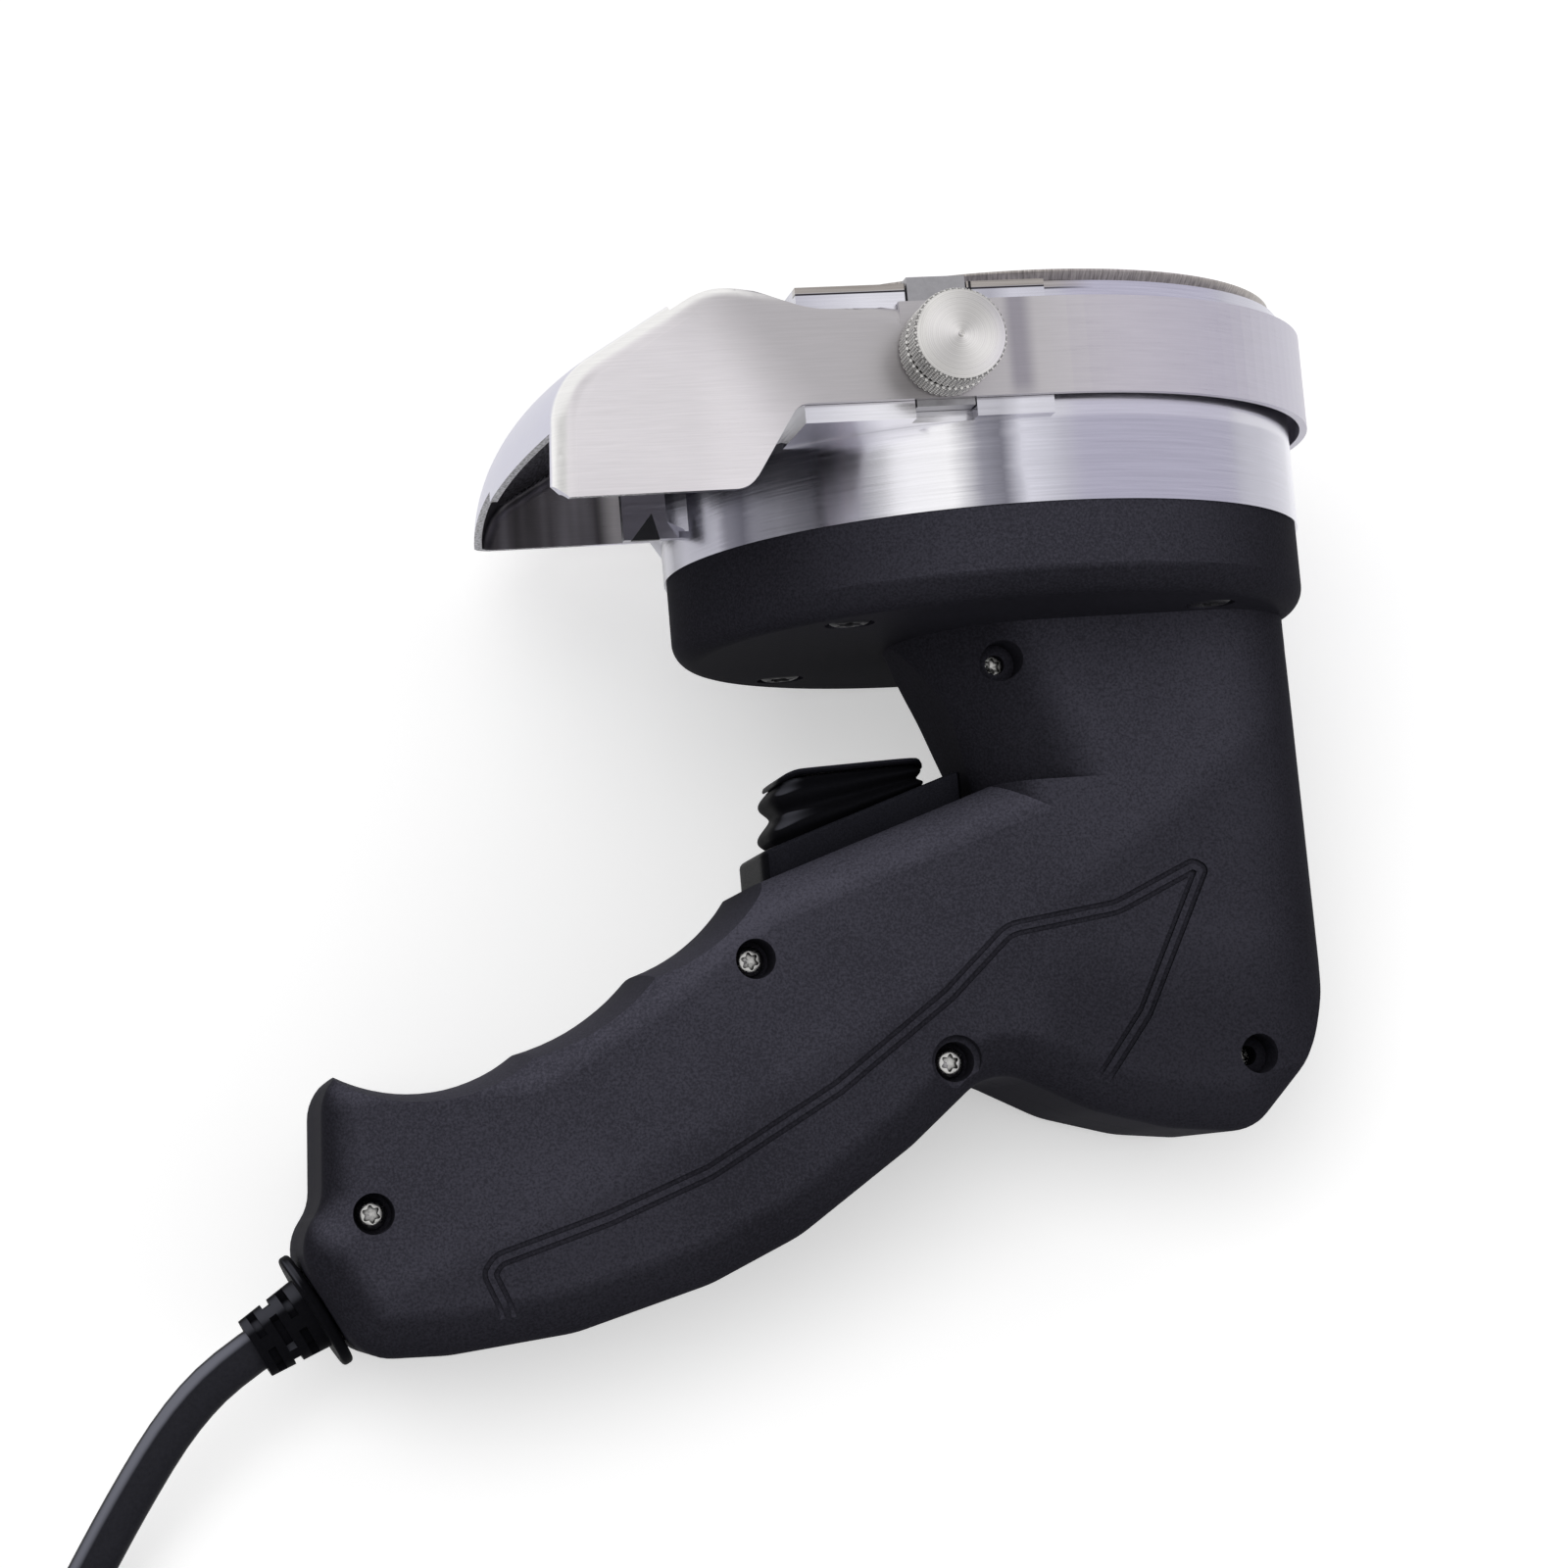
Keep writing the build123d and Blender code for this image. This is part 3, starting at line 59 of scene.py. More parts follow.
# The tool's axes and origin in the row frame: x to the rear, y to the blade, z to the near side
TOOL_X = Vector((0.997544, 0.0, -0.070047))
TOOL_Y = Vector((0.024331, 0.937736, 0.346494))
TOOL_Z = Vector((0.065685, -0.347347, 0.935433))
TOOL_ORIGIN = Vector((0.0371895, 0.0332784, 0.0547154))

# The camera in the tool's frame: its place in millimetres, and its right, up and back axes
CAMERA_PLACE = Vector((-154.10, -98.96, 594.28))
CAMERA_AXES = (Vector((0.978809, -0.084933, 0.186329)), Vector((0.063014, 0.990704, 0.120560)),
               Vector((-0.194837, -0.106264, 0.975062)))

# Sizes of the solids that the scene's pieces fit, in the tool's millimetres
KNOB_AXIS = (-16.6, 22.6)
KNOB_BASE, KNOB_TOP = 54.65, 65.65
STUD_LOW, STUD_RADIUS, THREAD_PITCH = 50.0, 2.5, 0.4
WING_LOW = 3.5
WING_SLOPE = Vector((8.74, 13.2))
BLADE_RADIUS = 50.0
BLADE_LOW, BLADE_HIGH = 34.0, 35.5
SEAT_FOOT, SEAT_LEAN = (-6.21, -38.51), 0.3211
NECK_CENTRE = Vector((2.558, -13.5))
NECK_AHEAD, NECK_UP = Vector((0.92852, 0.37127)), Vector((-0.37127, 0.92852))
NECK_REACH, NECK_HALF = 18.0, 23.1

# The slits at the foot of the neck: their levels, and the degrees of the neck's section that they take up
SLIT_LEVELS = (-38.8, -37.7, -36.6, -35.6)
SLIT_START, SLIT_SPAN = 31.5, 34.5

# The trigger's plate, the boot's foot and top (front, rear) and the strip under it, in the tool's millimetres
PLATE_FRONT, PLATE_REAR, PLATE_HALF, PLATE_LEVEL = -38.0, -13.9, 9.3, -32.2
BOOT_FOOT = (-38.2, -14.4)
BOOT_TOP = (Vector((-37.0, -34.3, 0.0)), Vector((-14.9, -33.2, 0.0)))
BOOT_HALF, BOOT_SUNK = 7.9, 0.4
STRIP_FRONT, STRIP_REAR, STRIP_HALF, STRIP_ROUND, STRIP_SUNK = -42.0, -8.9, 12.2, 0.7, 0.6

# The lug under the visor (front, rear, low, high), and where its notch starts, ends and peaks from its front;
# the notch is a dark triangle standing for its shade
LUG = (-59.3, -50.0, 4.75, 14.0)
LUG_INNER, LUG_MIDDLE, LUG_OUTER = 7.0, 8.0, 9.0
LUG_NOTCH = (1.2, 5.7, 4.7)
NOTCH_PEAK = 4.1
PROUD = 0.05

# How far screws stand below the solids' own: the rearmost handle screw, the neck's and the collar's
DEEP_SCREW, NECK_SCREW, COLLAR_SCREWS = 6.0, 3.6, 1.5

# Corners round a rounded rectangle
LOOP = 96


def tool_place():
    "The matrix from the tool's own millimetres to the row frame."
    turn = Matrix((TOOL_X, TOOL_Y, TOOL_Z)).transposed().to_4x4()
    return Matrix.Translation(TOOL_ORIGIN) @ turn @ Matrix.Scale(MM, 4)


def shade(red, green, blue):
    "A colour as it looks on a screen, 0 to 255, as the linear colour that Blender takes."
    def linear(level):
        level /= 255
        return level / 12.92 if level <= 0.04045 else ((level + 0.055) / 1.055) ** 2.4
    return linear(red), linear(green), linear(blue)


# Settings that a user would change

def real(name, text, value, **more):
    return FloatProperty(name=name, description=text, default=value, **more)


def whole(name, text, value, low, high):
    return IntProperty(name=name, description=text, default=value, min=low, max=high)


def length(name, text, millimetres):
    return real(name, text, millimetres * MM, min=0.0, unit="LENGTH", precision=5)


def level(name, text, millimetres):
    return real(name, text, millimetres * MM, unit="LENGTH")


def share(name, text, value):
    return real(name, text, value, min=0.0, max=1.0, subtype="FACTOR")


def watts(name, text, value):
    return real(name, text, value, min=0.0, unit="POWER")


def colour(name, text, value):
    return FloatVectorProperty(name=name, description=text, default=value, size=3, min=0.0, max=1.0,
                               subtype="COLOR")


class SlicerFinish(bpy.types.PropertyGroup):
    """Colours and finishes of the slicer's materials"""
    plastic: colour("Handle plastic", "Charcoal plastic of the shells and the collar", shade(71, 70, 80))
    rubber: colour("Rubber", "Boot, sleeve and cord rubber", shade(17, 17, 20))
    steel: colour("Guide steel", "Brushed stainless steel of the depth guide", shade(228, 224, 227))
    cast: colour("Cast head", "Polished cast aluminium of the head", shade(214, 214, 220))
    knob: colour("Knob", "Turned metal of the thumb screws", shade(208, 206, 204))
    plastic_roughness: share("Plastic roughness", "Roughness of the moulded plastic", 0.48)
    steel_roughness: share("Steel roughness", "Roughness of the brushed steel", 0.33)
    grain: length("Plastic grain", "Size of the speckle in the moulded plastic", 0.4)
    brushing: length("Brushing lines", "Spacing of the brushed lines on the metal", 0.28)


class SlicerKnob(bpy.types.PropertyGroup):
    """Sizes of the knurled thumb screws"""
    radius: length("Radius", "Outer radius of the knurled rings", 7.0)
    depth: length("Knurl depth", "Depth of the diamond knurl", 0.3)
    teeth: whole("Teeth", "Diamonds round the knob", 46, 12, 90)
    helix: real("Helix", "Turn of the knurl's grooves along the knob", 1.15)
    groove: length("Groove depth", "Depth of the groove between the two rings", 1.3)


class SlicerGuide(bpy.types.PropertyGroup):
    """Sizes of the depth guide's wings and the blade's rim"""
    peak: level("Peak", "Where the wing's top starts to fall", -49.5)
    valley: level("Valley", "Where it meets the band", -33.5)
    peak_level: length("Peak level", "Level of the wing's top", 34.2)
    valley_level: length("Valley level", "Level of the band's top", 29.75)
    heel: level("Heel", "Where the wing's lower rear corner lies", -47.3)
    round: length("Heel rounding", "Radius of the lower rear corner", 4.0)
    bore: length("Blade bore", "Radius of the hole in the blade", 3.45)
    rim: length("Blade rim", "Width of the ground rim", 0.9)


class SlicerScrews(bpy.types.PropertyGroup):
    """Sizes of the small screws"""
    shell_head: length("Shell screw head", "Head radius of the screws in the handle", 2.3)
    collar_head: length("Collar screw head", "Head radius of the screws under the collar", 3.6)
    lobe: share("Recess lobes", "How far the star recess waves in and out", 0.2)
    seed: IntProperty(name="Seed", description="Chooses how far each screw is turned", default=7)


class SlicerBoot(bpy.types.PropertyGroup):
    """Sizes of the rubber bellows under the trigger"""
    pleat: length("Pleat depth", "How far the pleats stand out", 1.75)
    strip: length("Strip height", "Height of the frame under the boot", 4.4)
    plate: length("Plate thickness", "Thickness of the trigger's plate", 1.0)
    pleats: whole("Pleats", "How many pleats the bellows has", 2, 1, 5)
    wall: length("Wall", "Thickness of the rubber", 0.9)


class SlicerCord(bpy.types.PropertyGroup):
    """Sizes of the power cord"""
    diameter: length("Diameter", "Outer diameter of the power cord", 6.8)
    coil_radius: length("Coil radius", "Radius of the outermost turn of the coil", 47.0)
    coil_gap: length("Coil gap", "Room between two turns of the coil", 0.55)
    half_turns: whole("Half turns", "Half turns in the coil's lower layer", 5, 1, 9)


class SlicerStudio(bpy.types.PropertyGroup):
    """Camera, floor and light"""
    lens: real("Lens", "Focal length of the camera in millimetres", 87.885, min=10.0)
    floor: colour("Floor", "Colour of the plain floor", (0.82, 0.82, 0.82))
    world: real("World", "Brightness of the light from all round", 0.5, min=0.0)
    key: watts("Key lamp", "Power of the large lamp over the tool", 5.5)
    fill: watts("Fill lamp", "Power of the lamp on the right", 2.2)


# Node trees

def working(operation, swapped=False):
    "A method of Value that makes one sum with another value."
    def work(self, other):
        first, second = (other, self) if swapped else (self, other)
        return self.tree.maths(operation, first, second)
    return work


class Value:
    """A socket's value that can stand in sums"""
    __add__, __radd__ = working("ADD"), working("ADD", True)
    __sub__, __rsub__ = working("SUBTRACT"), working("SUBTRACT", True)
    __mul__, __rmul__ = working("MULTIPLY"), working("MULTIPLY", True)
    __truediv__, __pow__ = working("DIVIDE"), working("POWER")

    def __init__(self, tree, socket):
        self.tree = tree
        self.socket = socket

    def __abs__(self):
        return self.tree.maths("ABSOLUTE", self)


class Tree:
    """A node tree under construction"""

    def __init__(self, tree):
        self.tree = tree
        tree.nodes.clear()

    def feed(self, socket, value):
        if isinstance(value, Value):
            self.tree.links.new(value.socket, socket)
        elif socket.type == "RGBA" and len(value) == 3:
            socket.default_value = (*value, 1.0)
        else:
            socket.default_value = value

    def add(self, kind, settings=None, sockets=None, output=0):
        "Any node: its settings are set first, then the values or links of its sockets."
        node = self.tree.nodes.new(kind)
        for name, value in (settings or {}).items():
            if name == "stops":
                while len(node.color_ramp.elements) < len(value):
                    node.color_ramp.elements.new(1.0)
                for stop, (place, tone) in zip(node.color_ramp.elements, value):
                    stop.position = place
                    stop.color = (*tone, 1.0)
            else:
                setattr(node, name, value)
        for name, value in (sockets or {}).items():
            self.feed(node.inputs[name], value)
        if output is None:
            return [Value(self, socket) for socket in node.outputs]
        return Value(self, node.outputs[output]) if node.outputs else node

    def maths(self, operation, *values):
        return self.add("ShaderNodeMath", {"operation": operation}, dict(enumerate(values)))

    def limit(self, value):
        return self.add("ShaderNodeClamp", None, {"Value": value})

    def step(self, value, low, high):
        "0 before low and 1 past high, with a soft change between. Low may be above high."
        return self.add("ShaderNodeMapRange", {"interpolation_type": "SMOOTHSTEP"},
                        {"Value": value, "From Min": low, "From Max": high})

    def vector(self, x, y, z):
        return self.add("ShaderNodeCombineXYZ", None, {0: x, 1: y, 2: z})

    def parts(self, vector):
        return self.add("ShaderNodeSeparateXYZ", None, {0: vector}, None)

    def noise(self, vector, scale, detail=2.0, roughness=0.5):
        return self.add("ShaderNodeTexNoise", None,
                        {"Vector": vector, "Scale": scale, "Detail": detail, "Roughness": roughness})

    def blend(self, factor, first, second, way="MIX"):
        return self.add("ShaderNodeMix", {"data_type": "RGBA", "blend_type": way},
                        {0: factor, 6: first, 7: second}, 2)

    def layered(self, tone, *layers):
        "A tone with other tones laid over it in turn, each by its share."
        for share, over in layers:
            tone = self.blend(share, tone, over)
        return tone

    def times(self, tone, level):
        return self.blend(1.0, tone, (level, level, level), "MULTIPLY")

    def swing(self, base, *waves):
        "A value from 0 to 1 that patterns swing up and down about a base, each by its amount."
        for wave, amount in waves:
            base = base + (wave - 0.5) * amount
        return self.limit(base)

    def facing(self, direction):
        "How far the surface faces a direction, from -1 to 1."
        normal = self.add("ShaderNodeTexCoord", output=1)
        return self.add("ShaderNodeVectorMath", {"operation": "DOT_PRODUCT"},
                        {0: normal, 1: direction}, "Value")

    def crevice(self, distance):
        """0 deep inside a crevice and 1 on an open face, which the materials use to paint shade into
        recesses.
        """
        return self.add("ShaderNodeAmbientOcclusion", {"samples": 8, "only_local": True},
                        {"Distance": distance * MM}, "AO")

    def seen(self):
        "1 for the rays that the camera, a reflection or a clear surface sends."
        rays = [self.add("ShaderNodeLightPath", output=name)
                for name in ("Is Camera Ray", "Is Glossy Ray", "Is Transmission Ray")]
        return self.maths("MAXIMUM", self.maths("MAXIMUM", rays[0], rays[1]), rays[2])

    def bump(self, height, distance, strength):
        return self.add("ShaderNodeBump", None,
                        {"Height": height, "Distance": distance, "Strength": strength})

    def tool(self):
        "The place on the tool, in its own millimetres."
        place = self.add("ShaderNodeTexCoord", output=3)
        turn = Matrix((TOOL_X, TOOL_Y, TOOL_Z)).transposed()
        return self.add("ShaderNodeMapping", {"vector_type": "TEXTURE"},
                        {"Vector": place, "Location": TOOL_ORIGIN, "Rotation": turn.to_euler(),
                         "Scale": (MM, MM, MM)})


def material(name, draw, *values, shader="ShaderNodeBsdfPrincipled", **constants):
    "A material whose surface is drawn by a function that returns its varying sockets."
    made = bpy.data.materials.new(name)
    made.use_nodes = True
    tree = Tree(made.node_tree)
    varying = draw(tree, *values)
    fixed = {key.replace("_", " "): value for key, value in constants.items()}
    surface = tree.add(shader, None, {**fixed, **varying})
    tree.add("ShaderNodeOutputMaterial", None, {"Surface": surface})
    return made


def lighter(tone, by):
    return tuple(min(1.0, level * by) for level in tone)


def lines_along(tree, spacing, stretch=0.035):
    "Fine lines that run level round the blade's axis and along the wings."
    x, y, z = tree.parts(tree.tool())
    return tree.noise(tree.vector(x * stretch, y, z * stretch), 1 / (spacing / MM), 3.0, 0.65)


def brushed_sheet(tree, tone, roughness, spacing):
    "The guide's steel: fine level lines, darker towards the knob, a bright bend and a dim inside."
    step = tree.step
    x, y, z = tree.parts(tree.tool())
    lines = lines_along(tree, spacing)
    cloud = tree.noise(tree.tool(), 0.05, 2.0)
    outward, ahead = tree.facing(TOOL_Z), tree.facing(TOOL_X)
    aside = abs(outward)
    shade_near_knob = step(x + (y - 24.0) * 0.6 + cloud * 8.0, -54.0, -34.0) * (1.0 - step(x, -12.0, 14.0) * 0.45)
    dark_reflection = step(x, -7.6, -5.6) * step(x, -2.0, -4.6) * step(y, 14.0, 18.0)
    visor = step(aside, 0.7, 0.3) * step(x, -40.0, -52.0)
    bend = step(aside, 0.12, 0.4) * step(aside, 0.97, 0.82) * step(x, -36.0, -50.0) * step(ahead, 0.3, 0.0)
    inside = step(ahead, -0.05, 0.25) * step(x, -50.0, -56.0)
    far_inside_shade = step(z, 0.0, -10.0) * step(outward, 0.3, 0.8) * step(x, -50.0, -54.0)
    streaks = tree.noise(tree.vector(x * 0.16, y * 0.01, 0.0), 1.0, 2.0, 0.6)
    cut_edge_shading = step(tree.facing(TOOL_Y), -0.6, -0.9) * step(x, -55.0, -58.0) * step(aside, 0.8, 0.5)
    teeth = tree.noise(tree.vector(x * 1.4, 0.0, z * 1.4), 1.4, 2.0)
    # Painted light and shade: shade towards the knob, reflections on the band's rear, on the dark stretch by
    # the knob and on the visor, a highlight on the bend, shade inside the visor and the far wing, and light
    # and dark teeth along the visor's cut edge
    tint = tree.layered(
        tone,
        (shade_near_knob, lighter(tone, 0.60)),
        (step(x, 6.0, 50.0), shade(186, 183, 196)),
        (dark_reflection * 0.75, shade(140, 136, 146)),
        (visor, shade(198, 197, 212)),
        (bend, (0.90, 0.89, 0.88)),
        (inside, shade(66, 65, 71)),
        (far_inside_shade, tree.blend(step(streaks, 0.35, 0.65), shade(78, 75, 78), shade(136, 133, 140))),
        (cut_edge_shading, tree.blend(step(teeth, 0.45, 0.55), shade(26, 26, 30), shade(150, 149, 158))))
    return {
        "Base Color": tree.blend(tree.swing(0.5, (lines, 1.5), (cloud, 0.5)),
                                 tree.times(tint, 0.88), tree.times(tint, 1.04)),
        "Roughness": tree.swing(roughness, (lines, 0.22), (cloud, 0.1)),
        "Normal": tree.bump(lines, 0.01 * MM, 0.6),
    }


# Painted reflections of the studio: light and dark stripes round the polished head, by the share of a half
# turn from the rear
HEAD_REFLECTIONS = ((0.0, 250), (0.13, 236), (0.17, 204), (0.24, 190), (0.49, 192), (0.53, 220), (0.55, 128),
                (0.572, 156), (0.60, 255), (0.655, 252), (0.69, 200), (0.715, 152), (0.745, 146),
                (0.775, 168), (0.81, 140), (0.825, 104), (0.85, 126), (0.865, 172), (0.93, 178),
                (0.965, 140), (1.0, 196))

# The head's upper flange: the two slits beside the knob, their foot, and the line under the flange, where the
# slits and the line are painted dark as shade
NOTCH = (-21.2, -11.4)
NOTCH_LOW, FLANGE_LINE = 29.0, 32.3


def polished_head(tree, tone, roughness, spacing):
    "The head's metal: level polishing lines, a studio's stripes, and the slits and line of its flange."
    step = tree.step
    x, y, z = tree.parts(tree.tool())
    lines = lines_along(tree, spacing, 0.02)
    cloud = tree.noise(tree.tool(), 0.12, 3.0)
    turn = tree.maths("ARCTAN2", abs(z), x) / pi
    waver = (lines - 0.5) * 0.012 + (cloud - 0.5) * 0.012
    stops = [(place, shade(grey - 2, grey - 3, min(255, grey + 8))) for place, grey in HEAD_REFLECTIONS]
    stripes = tree.add("ShaderNodeValToRGB", {"stops": stops}, {"Fac": turn + waver})
    # Painted light on the head's top and a painted highlight along the lip below it
    top = step(y, 26.0, 30.0)
    tint = tree.layered(stripes, (top * 0.6, shade(206, 205, 216)),
                        (step(y, 12.4, 13.2) * (1.0 - top) * 0.55, shade(226, 225, 232)))
    tint = tree.blend(tree.swing(0.5, (lines, 2.2)), tree.times(tint, 0.84), tint)
    aside = step(abs(z), 50.5, 51.5)
    rim = aside * step(y, FLANGE_LINE + 0.1, FLANGE_LINE + 0.25)
    # Painted shade in the slits and along the line under the flange
    slits = sum(step(abs(x - place), 0.3, 0.12) for place in NOTCH) * step(y, NOTCH_LOW, NOTCH_LOW + 0.2)
    marks = tree.limit((slits + step(abs(y - FLANGE_LINE), 0.2, 0.08)) * aside)
    tint = tree.layered(tint, (rim, tree.blend(lines, shade(112, 106, 102), shade(196, 190, 186))),
                        (marks, shade(44, 42, 46)))
    return {
        # Painted shade in the crevices
        "Base Color": tree.blend(step(tree.crevice(3.0), 0.15, 0.6), lighter(tone, 0.2), tint),
        "Roughness": tree.swing(roughness, (lines, 0.2), (cloud, 0.1)),
        "Normal": tree.bump(lines, 0.012 * MM, 0.6),
    }


# How far the knurl's grooves turn for each millimetre along the knob at a helix of 1, in radians
HELIX_TURN = 0.14


def turned_knob(tree, tone, roughness, teeth, helix):
    "Lathe rings on the knob's face, a soft cone of light across them and dark knurl grooves round it."
    x, y, z = tree.parts(tree.tool())
    aside, rise = x - KNOB_AXIS[0], y - KNOB_AXIS[1]
    radius = tree.maths("SQRT", aside * aside + rise * rise)
    angle = tree.maths("ARCTAN2", rise, aside)
    rings = 0.5 + 0.5 * tree.maths("SINE", radius * 21.0 + tree.noise(tree.tool(), 0.7) * 1.5)
    fine = tree.noise(tree.vector(radius, 0.0, 0.0), 5.5, 2.0, 0.6)
    # A painted highlight: a soft cone of light across the face
    cone = 0.5 + 0.5 * tree.maths("COSINE", (angle + 0.55) * 2.0)
    edge = tree.step(radius, 6.3, 6.6) * tree.step(abs(tree.facing(TOOL_Z)), 0.9, 0.75)
    level = abs(z) - 0.5 * (KNOB_BASE + KNOB_TOP)
    round_it = tree.maths("ARCTAN2", rise * tree.maths("SIGN", z), aside)
    grooves = [tree.maths("COSINE", (round_it + level * (helix * side * HELIX_TURN)) * float(teeth))
               for side in (1.0, -1.0)]
    knurl = tree.step(tree.maths("MAXIMUM", *grooves), 0.2, 0.95)
    face = tree.limit(0.2 + rings * 0.12 + (fine - 0.5) * 0.9 + cone * 0.65)
    # The face mixes its real rings and grain with the painted cone; painted shade darkens the knurl grooves
    # and the crevices
    tint = tree.layered(tree.blend(face, lighter(tone, 0.62), lighter(tone, 1.3)),
                        (edge * knurl * 0.8, lighter(tone, 0.2)),
                        (edge * tree.step(tree.crevice(0.7), 0.95, 0.45), lighter(tone, 0.22)),
                        (tree.step(tree.crevice(2.5), 0.75, 0.2), lighter(tone, 0.14)))
    return {
        "Base Color": tint,
        "Roughness": tree.swing(roughness, (fine, 0.2)),
        "Normal": tree.bump(rings * 0.3 + fine * 0.7, 0.04 * MM, 0.6),
    }


def ground_disc(tree, tone, roughness):
    "Hardened steel: the face polished in rings, the rim ground across, with marks along each radius."
    x, y, z = tree.parts(tree.tool())
    angle = tree.maths("ARCTAN2", z, x)
    radius = tree.maths("SQRT", x ** 2.0 + z ** 2.0)
    marks = tree.noise(tree.vector(angle * 60.0, radius * 0.15, y * 0.12), 2.4, 3.0, 0.7)
    rings = tree.noise(tree.vector(radius * 2.2, angle * 0.3, 0.0), 1.6, 3.0, 0.7)
    rim = tree.step(radius, 48.2, 48.6)
    ground = tree.blend(tree.swing(0.5, (marks, 3.2)), lighter(tone, 0.55), lighter(tone, 1.3))
    polished = tree.blend(tree.swing(0.5, (rings, 2.4)), shade(158, 158, 163), shade(204, 204, 210))
    return {
        "Base Color": tree.blend(rim, polished, ground),
        "Roughness": tree.swing(roughness, (marks, 0.3)),
        "Normal": tree.bump(marks, 0.02 * MM, 0.7),
    }


# The directions that the handle's plastic is painted lightest from and that the rubber's painted highlight
# comes from
SOFT_LIGHT = Vector((0.05, 0.50, 0.866)).normalized()
GLINT = Vector((-0.52, 0.30, 0.80)).normalized()

# The curve along the handle below which painted shade darkens it: level, slope and bend
SHADED_BELLY = (56.0, 0.62, 0.0013)


def moulded(tree, tone, roughness, grain, seam=True):
    "Spark-textured plastic: a fine speckle, a faint cloud, the shells' parting line and darker undersides."
    place = tree.tool()
    x, y, z = tree.parts(place)
    speckle = tree.noise(place, MM / grain, 2.0, 0.7)
    cells = tree.add("ShaderNodeTexVoronoi", {"feature": "F1"}, {"Vector": place, "Scale": 0.8 * MM / grain})
    cloud = tree.noise(place, 0.03, 2.0)
    height = speckle * 0.6 + cells * 0.5
    if seam:
        height = height * 0.12 + tree.step(abs(z), 0.05, 0.22)
    tint = tree.blend(tree.swing(0.5, (speckle, 3.4), (cloud, 1.2)), lighter(tone, 0.74), lighter(tone, 1.32))
    level, slope, bend = SHADED_BELLY
    # Painted shade below the curve and a painted shadow low on the case's rear; painted light where the
    # surface faces the soft light
    belly_shade = tree.step(x * slope + x * x * bend - y - level, -1.0, 5.0) * 0.45
    shadow = tree.step(x, -14.0, 4.0) * tree.step(y, -46.0, -80.0) * 0.8
    painted_light = tree.step(tree.facing(SOFT_LIGHT), 0.4, 0.87) * (1.0 - tree.maths("MAXIMUM", shadow, belly_shade))
    tint = tree.blend(painted_light, tree.times(tint, 0.30), tint)
    return {
        # Painted shade in the crevices
        "Base Color": tree.blend(tree.step(tree.crevice(4.0), 0.15, 0.62), lighter(tone, 0.1), tint),
        "Roughness": tree.swing(roughness, (speckle, 0.3), (cloud, 0.12)),
        "Normal": tree.bump(height, (0.3 if seam else 0.06) * MM, 0.55),
    }


def soft_rubber(tree, tone, roughness, sheen=0.0):
    """Rubber with fine dust, and a narrow painted highlight where it faces the long lamp."""
    place = tree.tool()
    dust = tree.noise(place, 1.6, 4.0, 0.7)
    skin = tree.noise(place, 6.0, 2.0)
    tint = tree.blend(tree.swing(0.5, (dust, 1.4)), lighter(tone, 0.8), lighter(tone, 1.35))
    # A painted highlight
    glint = tree.step(tree.facing(GLINT), 0.90, 0.992) * sheen
    return {
        "Base Color": tree.blend(glint, tint, shade(196, 198, 214)),
        "Roughness": tree.swing(roughness, (dust, 0.25)),
        "Normal": tree.bump(skin, 0.03 * MM, 0.5),
    }


def plain_metal(tree, tone, roughness, scale=0.8, depth=0.0):
    """Machined metal with a fine grain, with painted shade in its recesses."""
    place = tree.tool()
    grain = tree.noise(place, scale, 4.0, 0.7)
    fine = tree.noise(place, 7.0, 2.0)
    tint = tree.blend(tree.swing(0.5, (grain, 1.6)), lighter(tone, 0.8), lighter(tone, 1.1))
    if depth:
        # Painted shade in the recesses
        tint = tree.blend(tree.step(tree.crevice(depth), 0.35, 0.85), lighter(tone, 0.05), tint)
    return {
        "Base Color": tint,
        "Roughness": tree.swing(roughness, (grain, 0.3)),
        "Normal": tree.bump(fine, 0.02 * MM, 0.5),
    }


def wound_wire(tree, tone):
    "Enamelled wire, strand by strand."
    x, y, z = tree.parts(tree.tool())
    strands = tree.add("ShaderNodeTexWave", {"bands_direction": "X"},
                       {"Vector": tree.vector(x + z, y * 0.2, 0.0), "Scale": 1.4, "Distortion": 0.6})
    return {
        "Base Color": tree.blend(strands, lighter(tone, 0.45), tone),
        "Roughness": 0.3 + strands * 0.15,
        "Normal": tree.bump(strands, 0.2 * MM, 0.8),
    }


